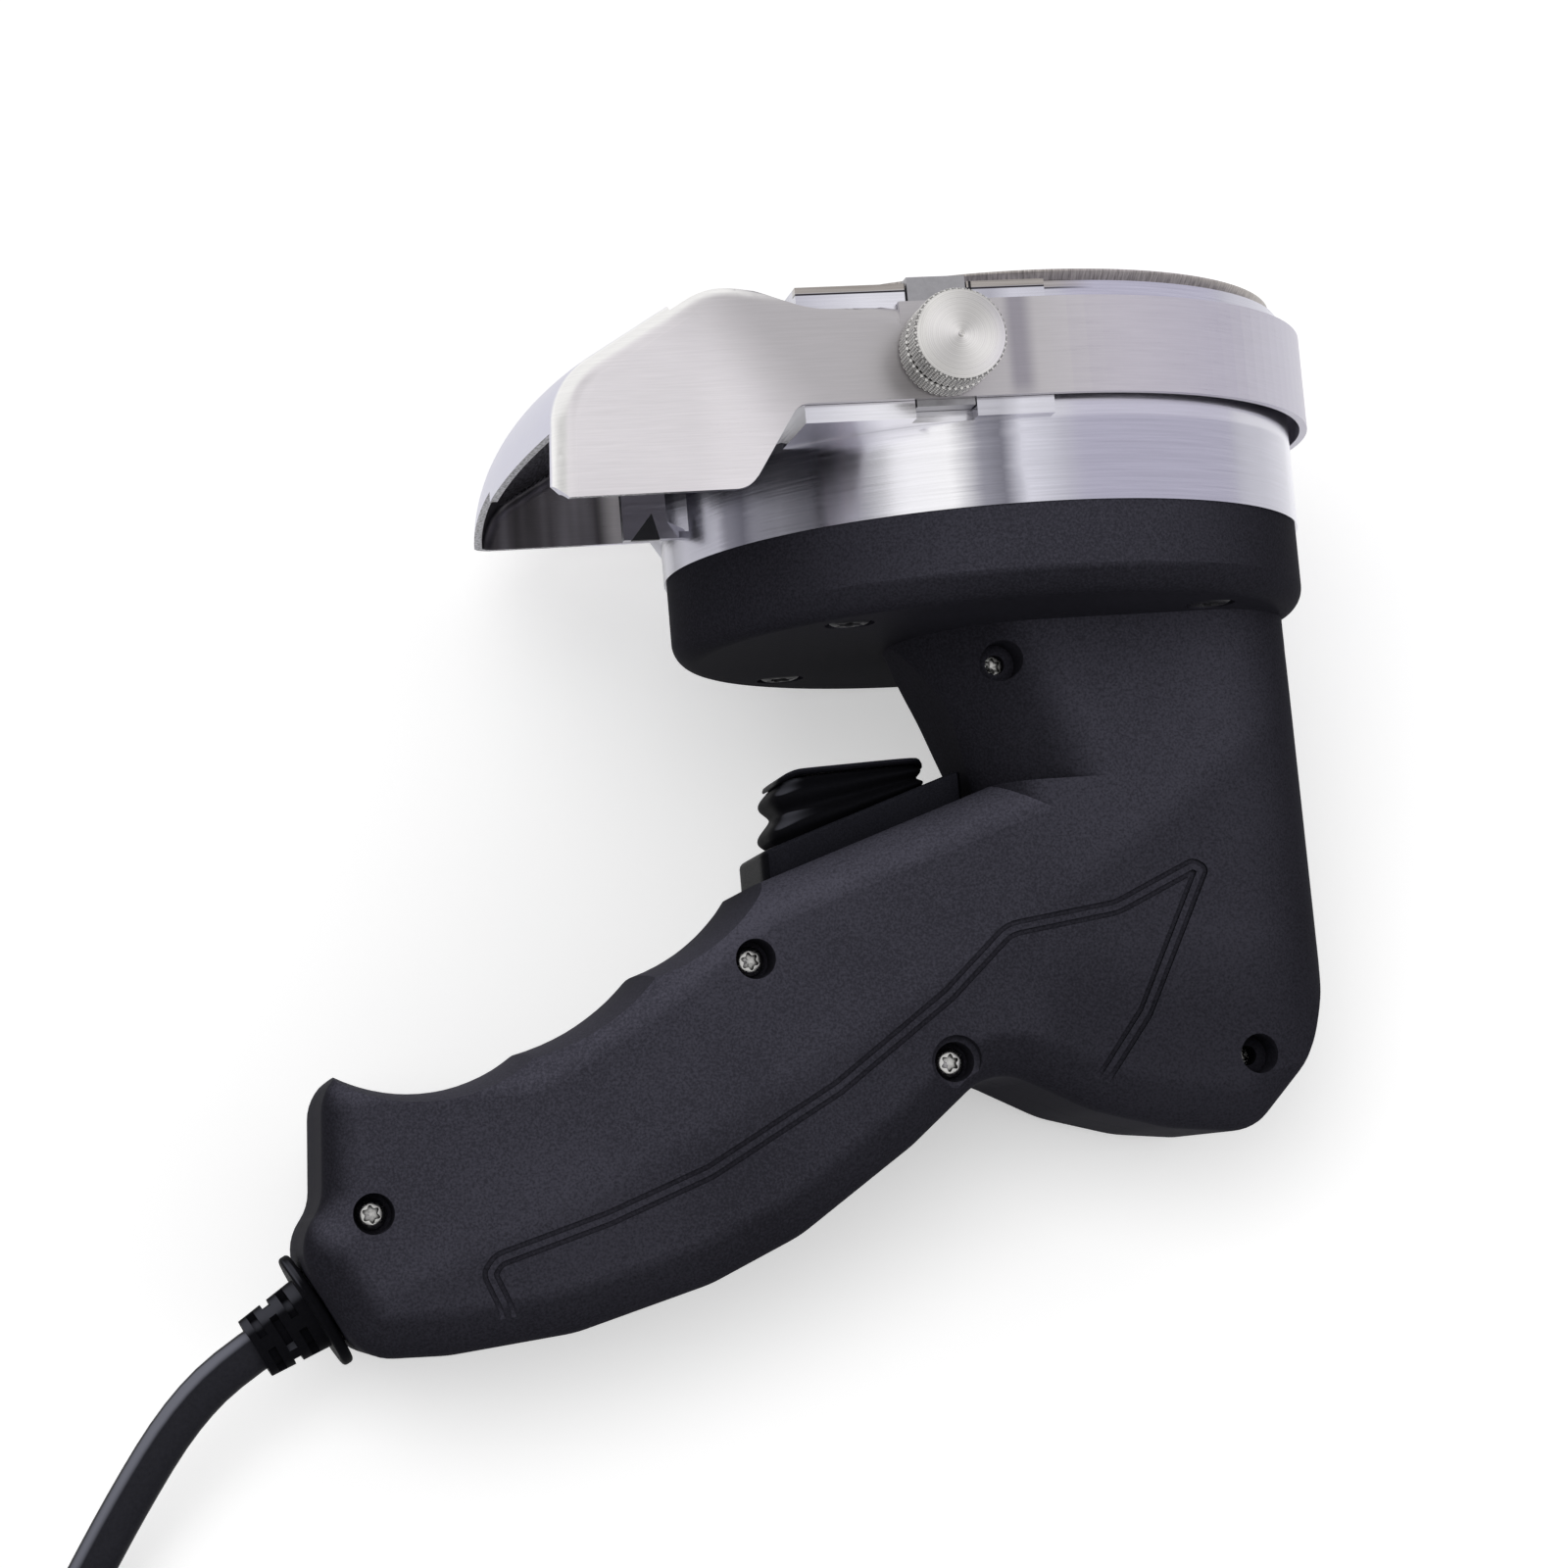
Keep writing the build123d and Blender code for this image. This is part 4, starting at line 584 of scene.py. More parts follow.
def finishes():
    "Every material of the slicer, by its finish."
    look = bpy.context.scene.slicer_finish
    knobs = bpy.context.scene.slicer_knob
    plastic, rubber, grain = tuple(look.plastic), tuple(look.rubber), look.grain
    metals = {
        "guide_steel": (brushed_sheet, tuple(look.steel), look.steel_roughness, look.brushing),
        "cast_head": (polished_head, tuple(look.cast), 0.2, 1.3 * look.brushing),
        "blade_steel": (ground_disc, shade(172, 166, 162), 0.36),
        "bright_steel": (turned_knob, tuple(look.knob), 0.3, knobs.teeth, knobs.helix),
        "screw_steel": (plain_metal, shade(206, 205, 203), 0.3, 0.8, 1.2),
        "machine_steel": (plain_metal, shade(160, 159, 162), 0.36, 0.8, 3.0),
        "magnet_can": (plain_metal, shade(176, 174, 165), 0.42, 0.3),
        "winding": (wound_wire, shade(190, 108, 62)),
        "pin_brass": (plain_metal, shade(205, 178, 120), 0.28),
    }
    # Each of these starts with its specular level
    others = {
        "screw_black": (0.2, plain_metal, shade(34, 34, 38), 0.5, 0.8, 1.0),
        "black_shell": (0.001, moulded, plastic, look.plastic_roughness, grain),
        "black_collar": (0.001, moulded, plastic, 0.46, grain, False),
        "trigger_black": (0.004, moulded, shade(34, 34, 40), 0.3, 0.6 * grain, False),
        "inner_plastic": (0.5, moulded, shade(60, 58, 55), 0.5, grain, False),
        "black_rubber": (0.004, soft_rubber, rubber, 0.42, 0.1),
        "cord_black": (0.01, soft_rubber, lighter(rubber, 3.4), 0.3, 0.3),
    }
    made = {name: material(name, *drawn, Metallic=1.0) for name, drawn in metals.items()}
    for name, (level, *drawn) in others.items():
        made[name] = material(name, *drawn, Specular_IOR_Level=level)
    return made


FINISH_OF = {
    "guide_steel": ("depth_guide",),
    "cast_head": ("head_housing",),
    "blade_steel": ("blade",),
    "bright_steel": ("thumb_screw_near", "thumb_screw_far", "blade_washer", "blade_nut"),
    "machine_steel": ("blade_spindle", "spindle_bearing_upper", "spindle_bearing_lower", "gearbox_plate",
                      "drive_gear", "motor_pinion", "guide_block_near", "guide_block_far", "screw_stud_near",
                      "screw_stud_far"),
    "screw_steel": ("handle_screws", "cable_clamp_screws"),
    "screw_black": ("head_screws", "trigger_pin"),
    "magnet_can": ("motor_can",),
    "winding": ("motor_rotor",),
    "inner_plastic": ("motor_end_cap", "switch_body", "switch_plunger", "capacitor", "cable_clamp"),
    "black_shell": ("handle_shell_near", "handle_shell_far"),
    "black_collar": ("collar",),
    "trigger_black": ("trigger", "boot_frame"),
    "black_rubber": ("trigger_boot", "strain_relief"),
    "cord_black": ("cord_lead", "power_cord", "cord_coil", "cord_tail", "plug_body"),
    "pin_brass": ("plug_pins",),
}

# The materials by finish, which the finishes operator fills in
made_finishes = {}


# Meshes

def solid_mesh(corners, faces, name):
    "A mesh with all its faces turned outwards."
    mesh = bmesh.new()
    spots = [mesh.verts.new(corner) for corner in corners]
    for face in faces:
        mesh.faces.new([spots[place] for place in face])
    bmesh.ops.recalc_face_normals(mesh, faces=mesh.faces[:])
    data = bpy.data.meshes.new(name)
    mesh.to_mesh(data)
    mesh.free()
    return data


def ring_faces(rings, count):
    "The faces between rings of corners, where a ring of one corner is a tip."
    faces = []
    for low, high in zip(rings, rings[1:]):
        for step in range(count):
            after = (step + 1) % count
            below = low if len(low) == 1 else (low[step], low[after])
            above = high if len(high) == 1 else (high[after], high[step])
            faces.append((*below, *above))
    return faces


def lathe(profile, count, name):
    "A solid of revolution round z. A profile point is (radius, level) or (radius, level, lobe share)."
    corners, rings = [], []
    for radius, level, *lobes in profile:
        ring = range(len(corners), len(corners) + (count if radius else 1))
        for step in range(len(ring)):
            angle = 2 * pi * step / count
            reach = radius * (1 + sum(lobes) * cos(6 * angle))
            corners.append((reach * cos(angle), reach * sin(angle), level))
        rings.append(ring)
    return solid_mesh(corners, ring_faces(rings, count), name)


def show(data, name):
    made = bpy.data.objects.new(name, data)
    bpy.context.scene.collection.objects.link(made)
    return made


def soften(data, angle):
    data.shade_smooth()
    data.set_sharp_from_angle(angle=radians(angle))


def node_group(name, **inputs):
    "An empty geometry tree with one geometry through it and the named inputs, each with its kind of socket."
    group = bpy.data.node_groups.new(name, "GeometryNodeTree")
    group.interface.new_socket(name="Geometry", in_out="INPUT", socket_type="NodeSocketGeometry")
    group.interface.new_socket(name="Geometry", in_out="OUTPUT", socket_type="NodeSocketGeometry")
    for label, kind in inputs.items():
        group.interface.new_socket(name=label, in_out="INPUT", socket_type="NodeSocket" + kind)
    tree = Tree(group)
    inputs = tree.add("NodeGroupInput", output=None)
    return group, tree, {value.socket.name: value for value in inputs if value.socket.name}


def finish_group(tree, geometry, surface):
    solid = tree.add("GeometryNodeRealizeInstances", None, {0: geometry})
    dressed = tree.add("GeometryNodeSetMaterial", None, {"Geometry": solid, "Material": surface})
    tree.add("NodeGroupOutput", None, {0: dressed})


def grown(data, name, group, values):
    "The plain mesh that a geometry tree makes from a start mesh."
    holder = show(data, name + "_start")
    modifier = holder.modifiers.new(name, "NODES")
    modifier.node_group = group
    sockets = {s.name: s.identifier for s in group.interface.items_tree if s.in_out == "INPUT"}
    for label, value in values.items():
        modifier[sockets[label]] = value
    ready = holder.evaluated_get(bpy.context.evaluated_depsgraph_get())
    result = bpy.data.meshes.new_from_object(ready)
    holder.modifiers.remove(modifier)
    bpy.data.objects.remove(holder)
    result.name = name
    return result


def knurl_tree():
    "Presses crossed helical grooves into every point that lies on the knob's outer radius."
    group, tree, ask = node_group("diamond_knurl", Radius="Float", Depth="Float", Teeth="Float",
                                  Helix="Float", Finish="Material")
    place = tree.add("GeometryNodeInputPosition")
    x, y, z = tree.parts(place)
    reach = tree.maths("SQRT", x * x + y * y)
    angle = tree.maths("ARCTAN2", y, x)
    grooves = []
    for side in (1.0, -1.0):
        wave = tree.maths("COSINE", (angle + z * ask["Helix"] * (side * HELIX_TURN)) * ask["Teeth"])
        grooves.append(tree.maths("POWER", 0.5 + wave * 0.5, 2.2))
    deep = tree.maths("MAXIMUM", *grooves)
    on_ring = tree.maths("GREATER_THAN", reach, ask["Radius"] - 0.01)
    push = deep * ask["Depth"] * on_ring * -1.0
    aside = tree.vector(x / reach * push, y / reach * push, 0.0)
    moved = tree.add("GeometryNodeSetPosition", None, {"Geometry": ask["Geometry"], "Offset": aside})
    finish_group(tree, moved, ask["Finish"])
    return group


def scatter_tree():
    "Sets one screw on each point, turned by a random angle."
    group, tree, ask = node_group("screw_row", Screw="Object", Seed="Int", Finish="Material")
    screw = tree.add("GeometryNodeObjectInfo", None, {"Object": ask["Screw"]}, output="Geometry")
    turn = tree.add("FunctionNodeRandomValue", {"data_type": "FLOAT"},
                    {2: 0.0, 3: 2 * pi, "Seed": ask["Seed"]}, output=1)
    points = tree.add("GeometryNodeMeshToPoints", None, {"Mesh": ask["Geometry"]})
    row = tree.add("GeometryNodeInstanceOnPoints", None,
                   {"Points": points, "Instance": screw, "Rotation": tree.vector(0.0, 0.0, turn)})
    finish_group(tree, row, ask["Finish"])
    return group


def in_millimetres(settings, *names):
    "The named lengths of a group of settings."
    return [getattr(settings, name) / MM for name in names]


def dressed(data, name, finish, angle=None):
    "Shows a piece in one finish. Its edges stay sharp where they turn by more than the angle."
    data.materials.clear()
    data.materials.append(made_finishes[finish])
    if angle:
        soften(data, angle)
    return show(data, name)


# Operators

class SLICER_OT_studio(bpy.types.Operator):
    """Add the camera, the floor, the light and the reflector cards"""
    bl_idname = "slicer.studio"
    bl_label = "Studio"

    def execute(self, context):
        studio = context.scene.slicer_studio
        scene = context.scene
        scene.view_settings.view_transform = "Standard"
        lens = bpy.data.cameras.new("camera")
        lens.lens = studio.lens
        lens.sensor_width = 36.0
        lens.clip_start = 0.01
        camera = show(lens, "camera")
        turn = Matrix((TOOL_X, TOOL_Y, TOOL_Z)).transposed() @ Matrix(CAMERA_AXES).transposed()
        place = turn.to_4x4()
        place.translation = tool_place() @ CAMERA_PLACE
        camera.matrix_world = place
        scene.camera = camera

        self.world(scene, studio)
        floor = self.floor(studio)
        self.lamp("key", (-0.35, -0.15, 1.25), (0.0, -0.03, 0.05), 0.9, studio.key)
        self.lamp("fill", (0.95, -0.55, 0.75), (0.0, -0.03, 0.05), 0.8, studio.fill)
        cards = [
            self.card("card_dark_left", (-1.1, 0.1, 0.62), 0.34, 1.3, 0.45),
            self.card("card_dark_top", (-0.22, 0.25, 1.5), 0.25, 0.9, 0.5),
            self.card("card_grey_right", (1.2, -0.1, 0.75), 1.1, 1.8, 0.86, (0.98, 0.96, 1.06)),
        ]
        return {"FINISHED"}

    def world(self, scene, studio):
        world = bpy.data.worlds.new("studio_world")
        scene.world = world
        world.use_nodes = True
        tree = Tree(world.node_tree)
        tone = tree.blend(tree.seen(), (studio.world,) * 3, (1.0, 1.0, 1.0))
        back = tree.add("ShaderNodeBackground", None, {"Color": tone, "Strength": 1.0})
        tree.add("ShaderNodeOutputWorld", None, {"Surface": back})

    def sheet(self, name, width, height, placing):
        "A flat rectangle."
        data = bpy.data.meshes.new(name)
        corners = [placing @ Vector((x * width / 2, y * height / 2, 0.0))
                   for x, y in ((-1, -1), (1, -1), (1, 1), (-1, 1))]
        data.from_pydata(corners, [], [(0, 1, 2, 3)])
        return show(data, name)

    def floor(self, studio):
        "A plain floor just under the slicer, which glows for the camera and in reflections only."
        floor = self.sheet("floor", 12.0, 12.0, Matrix.Translation((0.0, 0.0, -0.0004)))

        def draw(tree):
            return {"Emission Color": tree.blend(tree.seen(), (0.0, 0.0, 0.0), (0.42, 0.42, 0.42))}

        floor.data.materials.append(material("floor", draw, Base_Color=tuple(studio.floor), Roughness=1.0,
                                             Specular_IOR_Level=0.0, Emission_Strength=1.0))
        return floor

    def lamp(self, name, place, target, size, power):
        light = bpy.data.lights.new(name, "AREA")
        light.shape = "DISK"
        light.size = size
        light.energy = power
        lamp = show(light, name)
        lamp.visible_glossy = False
        lamp.location = place
        lamp.rotation_euler = (Vector(target) - Vector(place)).to_track_quat("-Z", "Y").to_euler()
        return lamp

    def card(self, name, place, width, height, level, tone=(1.0, 1.0, 1.0)):
        "A card that only reflections see."
        aim = (Vector((0.0, 0.0, 0.05)) - Vector(place)).to_track_quat("-Z", "Y").to_matrix().to_4x4()
        aim.translation = Vector(place)
        card = self.sheet(name, width, height, aim)
        glow = {"Color": tuple(level * part for part in tone), "Strength": 1.0}
        card.data.materials.append(material(name, lambda tree: glow, shader="ShaderNodeEmission"))
        card.visible_camera = False
        card.visible_diffuse = False
        card.visible_shadow = False
        card.visible_transmission = False
        return card


class SLICER_OT_finishes(bpy.types.Operator):
    """Give every solid of the slicer its material"""
    bl_idname = "slicer.finishes"
    bl_label = "Finishes"

    def execute(self, context):
        made_finishes.update(finishes())
        for slot, names in FINISH_OF.items():
            for name in names:
                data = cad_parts[name].data
                data.materials.clear()
                data.materials.append(made_finishes[slot])
        return {"FINISHED"}


class SLICER_OT_knobs(bpy.types.Operator):
    """Make the two knurled thumb screws"""
    bl_idname = "slicer.knobs"
    bl_label = "Thumb screws"

    def execute(self, context):
        sizes = context.scene.slicer_knob
        radius, groove, depth = in_millimetres(sizes, "radius", "groove", "depth")
        group = knurl_tree()
        for side, node, body in ((1, "thumb_screw_near", "screw_near"), (-1, "thumb_screw_far", "screw_far")):
            data = lathe(self.profile(radius, groove), 8 * sizes.teeth, node)
            data = grown(data, "knob_" + body[6:], group, {
                "Radius": radius, "Depth": depth, "Teeth": float(sizes.teeth),
                "Helix": sizes.helix, "Finish": made_finishes["bright_steel"]})
            turn = Matrix.Rotation(pi if side < 0 else 0.0, 4, "X")
            data.transform(tool_place() @ Matrix.Translation((*KNOB_AXIS, 0.0)) @ turn)
            soften(data, 28)
            knob = show(data, "knob_" + body[6:])
            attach(knob, body)
            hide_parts(node, "screw_stud_" + body[6:])
        return {"FINISHED"}

    def profile(self, radius, groove):
        "The knob with its two rings, and the threaded stud that it turns on."
        base, top, middle = KNOB_BASE, KNOB_TOP, 0.5 * (KNOB_BASE + KNOB_TOP)
        points = [(0, STUD_LOW), (STUD_RADIUS - 0.4, STUD_LOW), (STUD_RADIUS, STUD_LOW + 0.4)]
        level = STUD_LOW + 0.8
        while level < base - THREAD_PITCH:
            points += [(STUD_RADIUS, level), (STUD_RADIUS - 0.3, level + THREAD_PITCH / 2)]
            level += THREAD_PITCH
        points += [(STUD_RADIUS, base), (radius - 0.75, base), (radius - 0.4, base + 0.15)]
        points += self.ring(radius, base + 0.5, middle - 0.85)
        points += [(radius - 0.35, middle - 0.68), (radius - groove, middle - 0.65),
                   (radius - groove, middle + 0.65), (radius - 0.35, middle + 0.68)]
        points += self.ring(radius, middle + 0.85, top - 0.5)
        points += [(radius - 0.4, top - 0.15), (radius - 0.75, top), (radius - 2.2, top), (0.5, top - 0.05),
                   (0.25, top - 0.3), (0, top - 0.4)]
        return points

    def ring(self, radius, low, high, rows=24):
        return [(radius, low + (high - low) * row / rows) for row in range(rows + 1)]


class SLICER_OT_blade(bpy.types.Operator):
    """Make the round blade with its ground rim"""
    bl_idname = "slicer.blade"
    bl_label = "Blade"

    def execute(self, context):
        inner, bevel = in_millimetres(context.scene.slicer_guide, "bore", "rim")
        profile = [(inner, BLADE_HIGH), (inner, BLADE_LOW), (BLADE_RADIUS - bevel, BLADE_LOW),
                   (BLADE_RADIUS, BLADE_HIGH - 0.3), (BLADE_RADIUS, BLADE_HIGH), (inner, BLADE_HIGH)]
        data = lathe(profile, 180, "blade_disc")
        data.transform(tool_place() @ Matrix.Rotation(radians(-90), 4, "X"))
        disc = dressed(data, "blade_disc", "blade_steel", 20)
        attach(disc, "blade")
        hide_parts("blade")
        return {"FINISHED"}


def prism(points, depth):
    "The corners and faces of a side-view outline drawn out to both sides."
    count = len(points)
    corners = [(p[0], p[1], z) for z in (-depth, depth) for p in points]
    faces = [tuple(range(count)), tuple(range(2 * count - 1, count - 1, -1))]
    faces += [(step, step + count, (step + 1) % count + count, (step + 1) % count) for step in range(count)]
    return corners, faces


def corner_outline(corner, first, second, radius):
    "The outline to cut away where a corner between two edge directions is rounded off."
    corner, first, second = Vector(corner), Vector(first).normalized(), Vector(second).normalized()
    half = first.angle(second) / 2
    inward = (first + second).normalized()
    centre = corner + inward * (radius / sin(half))
    start = corner + first * (radius / sin(half) * cos(half)) - centre
    end = corner + second * (radius / sin(half) * cos(half)) - centre
    steps = 8
    arc = [centre + start.lerp(end, step / steps).normalized() * radius for step in range(steps + 1)]
    return arc + [arc[-1] + end.normalized(), corner - inward * radius, arc[0] + start.normalized()]


class SLICER_OT_guide(bpy.types.Operator):
    """Round the corners of the depth guide's wings"""
    bl_idname = "slicer.guide"
    bl_label = "Depth guide"

    def execute(self, context):
        start, end, high, low, corner, rounding = in_millimetres(
            context.scene.slicer_guide, "peak", "valley", "peak_level", "valley_level", "heel", "round")
        steps = 14
        top = []
        for step in range(steps + 1):
            share = step / steps
            top.append((start + share * (end - start), low + (high - low) * (0.5 + 0.5 * cos(pi * share))))
        top += [(end + 7.5, low), (end + 10.7, low + 0.7), (end + 10.7, low + 2.5), (start, high + 3.5)]
        heel = corner_outline((corner, WING_LOW), (-1.0, 0.0), WING_SLOPE, rounding)
        corners, faces = [], []
        for outline in (top, heel):
            spots, sides = prism(outline, 2 * BLADE_RADIUS)
            faces += [[place + len(corners) for place in side] for side in sides]
            corners += spots
        data = solid_mesh(corners, faces, "guide_cutter")
        data.transform(tool_place())
        cutter = show(data, "guide_cutter")
        holder = show(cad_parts["depth_guide"].data.copy(), "guide_start")
        modifier = holder.modifiers.new("rounding", "BOOLEAN")
        modifier.operation = "DIFFERENCE"
        modifier.solver = "EXACT"
        modifier.object = cutter
        ready = holder.evaluated_get(context.evaluated_depsgraph_get())
        shape = bpy.data.meshes.new_from_object(ready)
        holder.modifiers.remove(modifier)
        bpy.data.objects.remove(holder)
        bpy.data.objects.remove(cutter)
        guide = dressed(shape, "wing_guide", "guide_steel", 24)
        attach(guide, "guide")
        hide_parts("depth_guide")
        return {"FINISHED"}


class SLICER_OT_screws(bpy.types.Operator):
    """Make the small screws with their star recesses"""
    bl_idname = "slicer.screws"
    bl_label = "Small screws"

    def execute(self, context):
        sizes = context.scene.slicer_screws
        group = scatter_tree()
        shells = screw_centres("handle_screws")
        rearmost, highest = max(shells), max(shells, key=lambda place: place[1])
        for deep, drop in ((rearmost, DEEP_SCREW), (highest, NECK_SCREW)):
            shells[shells.index(deep)] = (*deep[:2], deep[2] - drop)
        collar = [(x, y, z - COLLAR_SCREWS) for x, y, z in screw_centres("head_screws")]
        shell_head, collar_head = in_millimetres(sizes, "shell_head", "collar_head")
        self.row("shell_screws", "handle_screws", shells, shell_head, 1.8, 16.0, 1.5, sizes, group,
                 tool_place())
        down = tool_place() @ Matrix.Rotation(radians(90), 4, "X")
        self.row("collar_screws", "head_screws", collar, collar_head, 2.6, 10.0, 1.9, sizes, group, down)
        return {"FINISHED"}

    def row(self, name, node, places, head, cap, shank, shank_radius, sizes, group, place):
        template = show(screw_mesh(head, cap, shank, shank_radius, sizes.lobe, name), name + "_one")
        points = bpy.data.meshes.new(name)
        points.from_pydata(places, [], [])
        data = grown(points, name, group, {
            "Screw": template, "Seed": sizes.seed,
            "Finish": made_finishes["screw_steel" if node == "handle_screws" else "screw_black"]})
        bpy.data.objects.remove(template)
        data.transform(place)
        soften(data, 40)
        screws = show(data, name)
        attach(screws, "root")
        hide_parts(node)


def screw_centres(node):
    "The axis and head level of each screw of a node, in the row's own turned frame."
    back = tool_place().inverted()
    spots = [back @ v.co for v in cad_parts[node].data.vertices]
    if node == "head_screws":
        spots = [Vector((spot.x, spot.z, -spot.y)) for spot in spots]
    groups = []
    for spot in spots:
        for group in groups:
            if hypot(spot.x - group[0].x, spot.y - group[0].y) < 9.0:
                group.append(spot)
                break
        else:
            groups.append([spot])
    top = max(spot.z for spot in spots)
    centres = []
    for group in groups:
        across, along = [spot.x for spot in group], [spot.y for spot in group]
        centres.append(((min(across) + max(across)) / 2, (min(along) + max(along)) / 2, top))
    return centres


def screw_mesh(head, cap, shank, shank_radius, lobe, name):
    "A pan head with a star recess, its top at z = 0 and its shank below."
    star = 0.5 * head
    profile = [(0, -cap - shank), (shank_radius, -cap - shank + 0.5), (shank_radius, -cap),
               (head - 0.1, -cap), (head, -cap + 0.15), (head, -0.45 * cap), (0.93 * head, -0.2 * cap),
               (0.8 * head, -0.06 * cap), (0.68 * head, 0.0, 0.2 * lobe), (star * 1.06, 0.0, lobe),
               (star, -0.08 * cap, lobe), (0.94 * star, -0.55 * cap, lobe), (0.3 * star, -0.62 * cap),
               (0, -0.66 * cap)]
    return lathe(profile, 36, name)


def seat(x, rise):
    "A point over the trigger's sloping seat, in the side view."
    level = SEAT_FOOT[1] - (SEAT_FOOT[0] - x) * sin(SEAT_LEAN) / cos(SEAT_LEAN)
    return Vector((x, level + rise / cos(SEAT_LEAN), 0.0))


def rounded(power):
    "The corners of a rounded square of half size 1. A higher power makes its corners tighter."
    corners = []
    for step in range(LOOP):
        c, s = cos(2 * pi * step / LOOP), sin(2 * pi * step / LOOP)
        reach = (abs(c) ** power + abs(s) ** power) ** (-1 / power)
        corners.append((c * reach, s * reach))
    return corners


def ring_mesh(rings, name, closed=False):
    "A solid from rings of points with the same count: closed into a tube, or capped at both ends."
    count = len(rings[0])
    rows = [range(count * row, count * (row + 1)) for row in range(len(rings))]
    faces = ring_faces(rows + rows[:1] if closed else rows, count)
    if not closed:
        faces += [rows[0][::-1], rows[-1]]
    data = solid_mesh([spot for ring in rings for spot in ring], faces, name)
    data.transform(tool_place())
    return data


class SLICER_OT_boot(bpy.types.Operator):
    """Make the trigger's plate, its pleated rubber boot and the strip that they stand on"""
    bl_idname = "slicer.boot"
    bl_label = "Trigger boot"

    def execute(self, context):
        sizes = context.scene.slicer_boot
        rise, thickness = in_millimetres(sizes, "strip", "plate")
        foot = [seat(x, rise - BOOT_SUNK) for x in BOOT_FOOT]
        boot = self.piece(self.bellows(*foot, *BOOT_TOP, sizes), "boot", "black_rubber", 60)
        low, high = [tool_place() @ ((front + rear) / 2) for front, rear in (foot, BOOT_TOP)]
        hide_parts("trigger_boot")
        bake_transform(boot)
        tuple(low)
        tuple(high)
        plate = self.piece(self.plate(thickness), "trigger_plate", "trigger_black", 50)
        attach(plate, "trigger")
        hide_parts("trigger", "trigger_pin")
        strip = self.piece(self.strip(rise), "boot_strip", "trigger_black", 30)
        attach(strip, "root")
        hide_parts("boot_frame")
        return {"FINISHED"}

    def piece(self, data, name, slot, angle):
        made = dressed(data, name, slot, angle)
        return made

    def bellows(self, low_front, low_rear, high_front, high_rear, sizes):
        "Rounded rectangles set between the strip and the trigger's plate, waved in and out."
        pleat, wall = in_millimetres(sizes, "pleat", "wall")
        rows = 16 * sizes.pleats
        rings = []
        for inside in (False, True):
            for row in range(rows + 1):
                share = 1 - row / rows if inside else row / rows
                wave = (0.5 - 0.5 * cos(2 * pi * sizes.pleats * share)) ** 0.8
                out = pleat * wave - (wall if inside else 0.0)
                front = low_front.lerp(high_front, share)
                rear = low_rear.lerp(high_rear, share)
                along = (rear - front).normalized()
                centre = (front - along * out + rear + along * 0.4 * out) / 2
                reach = (rear - front).length / 2 + 0.7 * out
                rings.append([centre + along * (reach * c) + Vector((0, 0, (BOOT_HALF + out) * s))
                              for c, s in rounded(5)])
        return ring_mesh(rings, "boot", True)

    def plate(self, thickness):
        "A thin plate with a rounded plan that droops at its front and at its rear."
        middle, reach = (PLATE_FRONT + PLATE_REAR) / 2, (PLATE_REAR - PLATE_FRONT) / 2

        def top(x):
            level = PLATE_LEVEL - 0.034 * max(0.0, -16.0 - x)
            return level - 0.085 * max(0.0, -34.0 - x) ** 2 - 0.35 * max(0.0, x + 15.5) ** 2

        half_edge = ((0.05, 0.0), (0.4, 0.0), (0.75, 0.0), (0.93, 0.0), (0.985, 0.08), (1.0, 0.35))
        rings = []
        for size, drop in (*half_edge, *((size, 1.0 - drop) for size, drop in half_edge[::-1])):
            spots = [(middle + reach * size * c, PLATE_HALF * size * s) for c, s in rounded(6)]
            rings.append([(x, top(x) - drop * thickness, z) for x, z in spots])
        return ring_mesh(rings, "trigger_plate")

    def strip(self, rise):
        "The strip that clamps the boot to the handle's seat, with rounded corners and a round upper rim."
        middle, reach = (STRIP_FRONT + STRIP_REAR) / 2, (STRIP_REAR - STRIP_FRONT) / 2
        levels = [(0.0, -STRIP_SUNK), (0.0, rise - STRIP_ROUND)]
        levels += [(STRIP_ROUND * (1 - cos(turn)), rise - STRIP_ROUND * (1 - sin(turn)))
                   for turn in (radians(30), radians(60), radians(90))]
        rings = []
        for inset, level in levels:
            spots = [(seat(middle + (reach - inset) * c, level), (STRIP_HALF - inset) * s)
                     for c, s in rounded(12)]
            rings.append([(spot.x, spot.y, z) for spot, z in spots])
        return ring_mesh(rings, "boot_strip")


class SLICER_OT_lug(bpy.types.Operator):
    """Make the small lug at the front of the head, with a dark triangle standing proud of it as the notch's
    painted shade
    """
    bl_idname = "slicer.lug"
    bl_label = "Front lug"

    def execute(self, context):
        front, rear, low, high = LUG
        start, end, peak = [front + along for along in LUG_NOTCH]
        plate = [(front, low), (rear, low), (rear, high), (front, high)]
        # The notch is a dark triangle over the lug, painted shade where the notch is
        notch = [(start, low - PROUD), (end, low - PROUD), (peak, low + NOTCH_PEAK)]
        for name, outline, inner, outer, finish, slot in (
                ("lug", plate, LUG_INNER, LUG_OUTER, "cast_head", "cast_head"),
                ("lug_notch", notch, LUG_MIDDLE, LUG_OUTER + PROUD, "screw_black", "machine_steel")):
            data = ring_mesh([[(x, y, z) for x, y in outline] for z in (inner, outer)], name)
            made = dressed(data, name, finish)
            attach(made, "root")
        return {"FINISHED"}


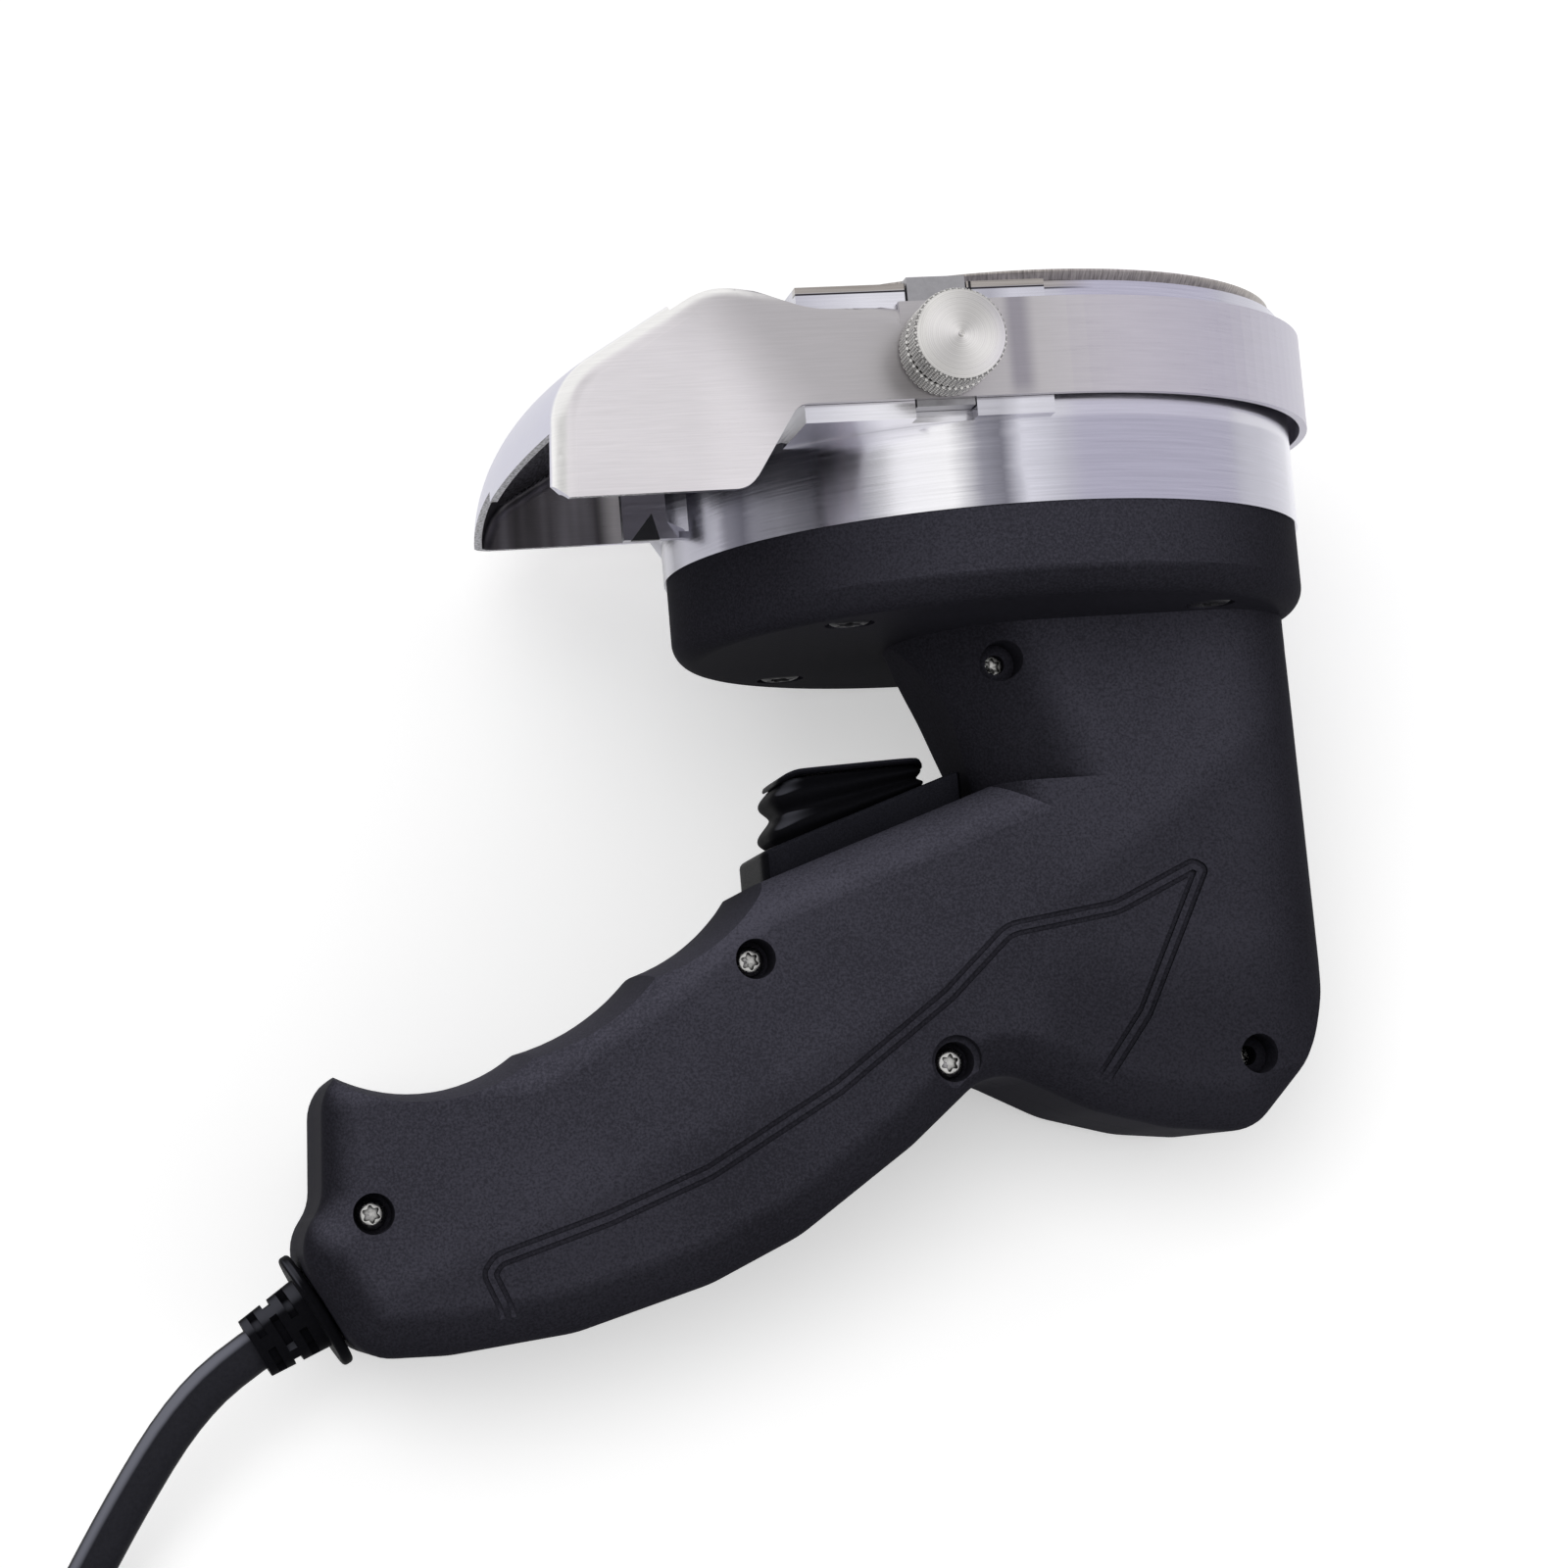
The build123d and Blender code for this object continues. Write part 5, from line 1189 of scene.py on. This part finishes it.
class SLICER_OT_neck(bpy.types.Operator):
    """Make the two curved pieces that close the shell at the foot of the neck"""
    bl_idname = "slicer.neck"
    bl_label = "Neck foot"

    def execute(self, context):
        for side, name in ((1, "near"), (-1, "far")):
            data = ring_mesh([self.edge(level, side) for level in SLIT_LEVELS], "neck_foot_" + name)
            foot = dressed(data, "neck_foot_" + name, "black_shell", 40)
            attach(foot, "root")
        return {"FINISHED"}

    def edge(self, level, side):
        "One level outline of the piece: along the neck's outer face and back inside its wall."
        steps, ring = 10, []
        for reach, order in ((NECK_REACH - 0.02, 1), (NECK_REACH - 2.0, -1)):
            for step in range(steps + 1)[::order]:
                turn = radians(SLIT_START + SLIT_SPAN * step / steps)
                ahead = reach * cos(turn)
                along = (level - NECK_CENTRE.y + ahead * NECK_AHEAD.y) / NECK_UP.y
                spot = NECK_CENTRE + NECK_UP * along - NECK_AHEAD * ahead
                ring.append((spot.x, level, side * NECK_HALF * reach / NECK_REACH * sin(turn)))
        return ring


class SLICER_OT_cord(bpy.types.Operator):
    """Lay the power cord out and coil the rest of it beside the tool"""
    bl_idname = "slicer.cord"
    bl_label = "Power cord"

    def execute(self, context):
        sizes = context.scene.slicer_cord
        diameter, = in_millimetres(sizes, "diameter")
        points = [(-81.1, -70.6, 24.5), (-92.5, -76.0, 23.4), (-102.0, -83.0, 20.8), (-111.4, -94.5, 15.9),
                  (-121.5, -108.5, 9.6), (-131.0, -122.6, 4.8), (-137.0, -137.0, 3.45),
                  (-138.2, -149.6, 3.45), (-138.2, -165.6, 3.45)]
        coil = self.coil(points[-1], diameter, sizes)
        tail = [(-77.1, -219.4, 10.8), (-57.1, -219.4, 10.8), (-33.7, -215.3, 7.6), (-11.5, -206.3, 6.85),
                (6.8, -194.0, 6.85)]
        line = points + coil + tail
        data = bpy.data.curves.new("cord", "CURVE")
        data.dimensions = "3D"
        spline = data.splines.new("NURBS")
        spline.points.add(len(line) - 1)
        for point, place in zip(spline.points, line):
            point.co = (*[level * MM for level in place], 1.0)
        spline.order_u = 3
        spline.use_endpoint_u = True
        spline.resolution_u = 4
        data.bevel_depth = sizes.diameter / 2
        data.bevel_resolution = 6
        data.use_fill_caps = True
        cord = dressed(data, "cord", "cord_black")
        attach(cord, "root")
        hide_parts("power_cord", "cord_coil", "cord_tail")
        return {"FINISHED"}

    def coil(self, start, diameter, sizes):
        "The coil's turns: in on the table, up a layer, out again, and a quarter of a turn to leave it."
        gap, radius = in_millimetres(sizes, "coil_gap", "coil_radius")
        pitch = diameter + gap
        radii = [radius - 0.5 * pitch * step for step in range(sizes.half_turns)]
        x, y, z = start[0], start[1] - diameter, start[2]
        side = 1
        points = []
        turns = [(r, 0.0, 12) for r in radii] + [(radii[-1] - 0.5 * pitch, pitch, 12)]
        turns += [(r, 0.0, 12) for r in radii[:0:-1]] + [(radius, 0.0, 7)]
        for reach, rise, steps in turns:
            for step in range(steps):
                angle = pi * step / 12
                points.append((x + side * reach * (1 - cos(angle)), y - side * reach * sin(angle),
                               z + rise * (0.5 - 0.5 * cos(angle))))
            x += side * 2 * reach
            z += rise
            side = -side
        return points


class SLICER_PT_panel(bpy.types.Panel):
    """The slicer's settings and pieces"""
    bl_idname = "SLICER_PT_panel"
    bl_label = "Kebab Slicer"
    bl_space_type = "VIEW_3D"
    bl_region_type = "UI"
    bl_category = "Slicer"

    def draw(self, context):
        for group in SETTINGS:
            box = self.layout.box()
            box.label(text=SETTINGS[group].__doc__)
            for name in SETTINGS[group].__annotations__:
                box.prop(getattr(context.scene, group), name)
        for operator in OPERATORS:
            self.layout.operator(operator.bl_idname)


SETTINGS = {
    "slicer_finish": SlicerFinish,
    "slicer_knob": SlicerKnob,
    "slicer_guide": SlicerGuide,
    "slicer_screws": SlicerScrews,
    "slicer_boot": SlicerBoot,
    "slicer_cord": SlicerCord,
    "slicer_studio": SlicerStudio,
}
OPERATORS = (SLICER_OT_studio, SLICER_OT_finishes, SLICER_OT_cord, SLICER_OT_blade, SLICER_OT_guide,
             SLICER_OT_knobs, SLICER_OT_screws, SLICER_OT_boot, SLICER_OT_lug, SLICER_OT_neck)


def register():
    for group, kind in SETTINGS.items():
        bpy.utils.register_class(kind)
        setattr(bpy.types.Scene, group, PointerProperty(type=kind))
    for kind in (*OPERATORS, SLICER_PT_panel):
        bpy.utils.register_class(kind)


def unregister():
    for kind in (SLICER_PT_panel, *reversed(OPERATORS)):
        bpy.utils.unregister_class(kind)
    for group, kind in reversed(list(SETTINGS.items())):
        delattr(bpy.types.Scene, group)
        bpy.utils.unregister_class(kind)


def main():
    register()
    for operator in OPERATORS:
        family, name = operator.bl_idname.split(".")
        getattr(getattr(bpy.ops, family), name)()


if __name__ == "__main__":
    main()
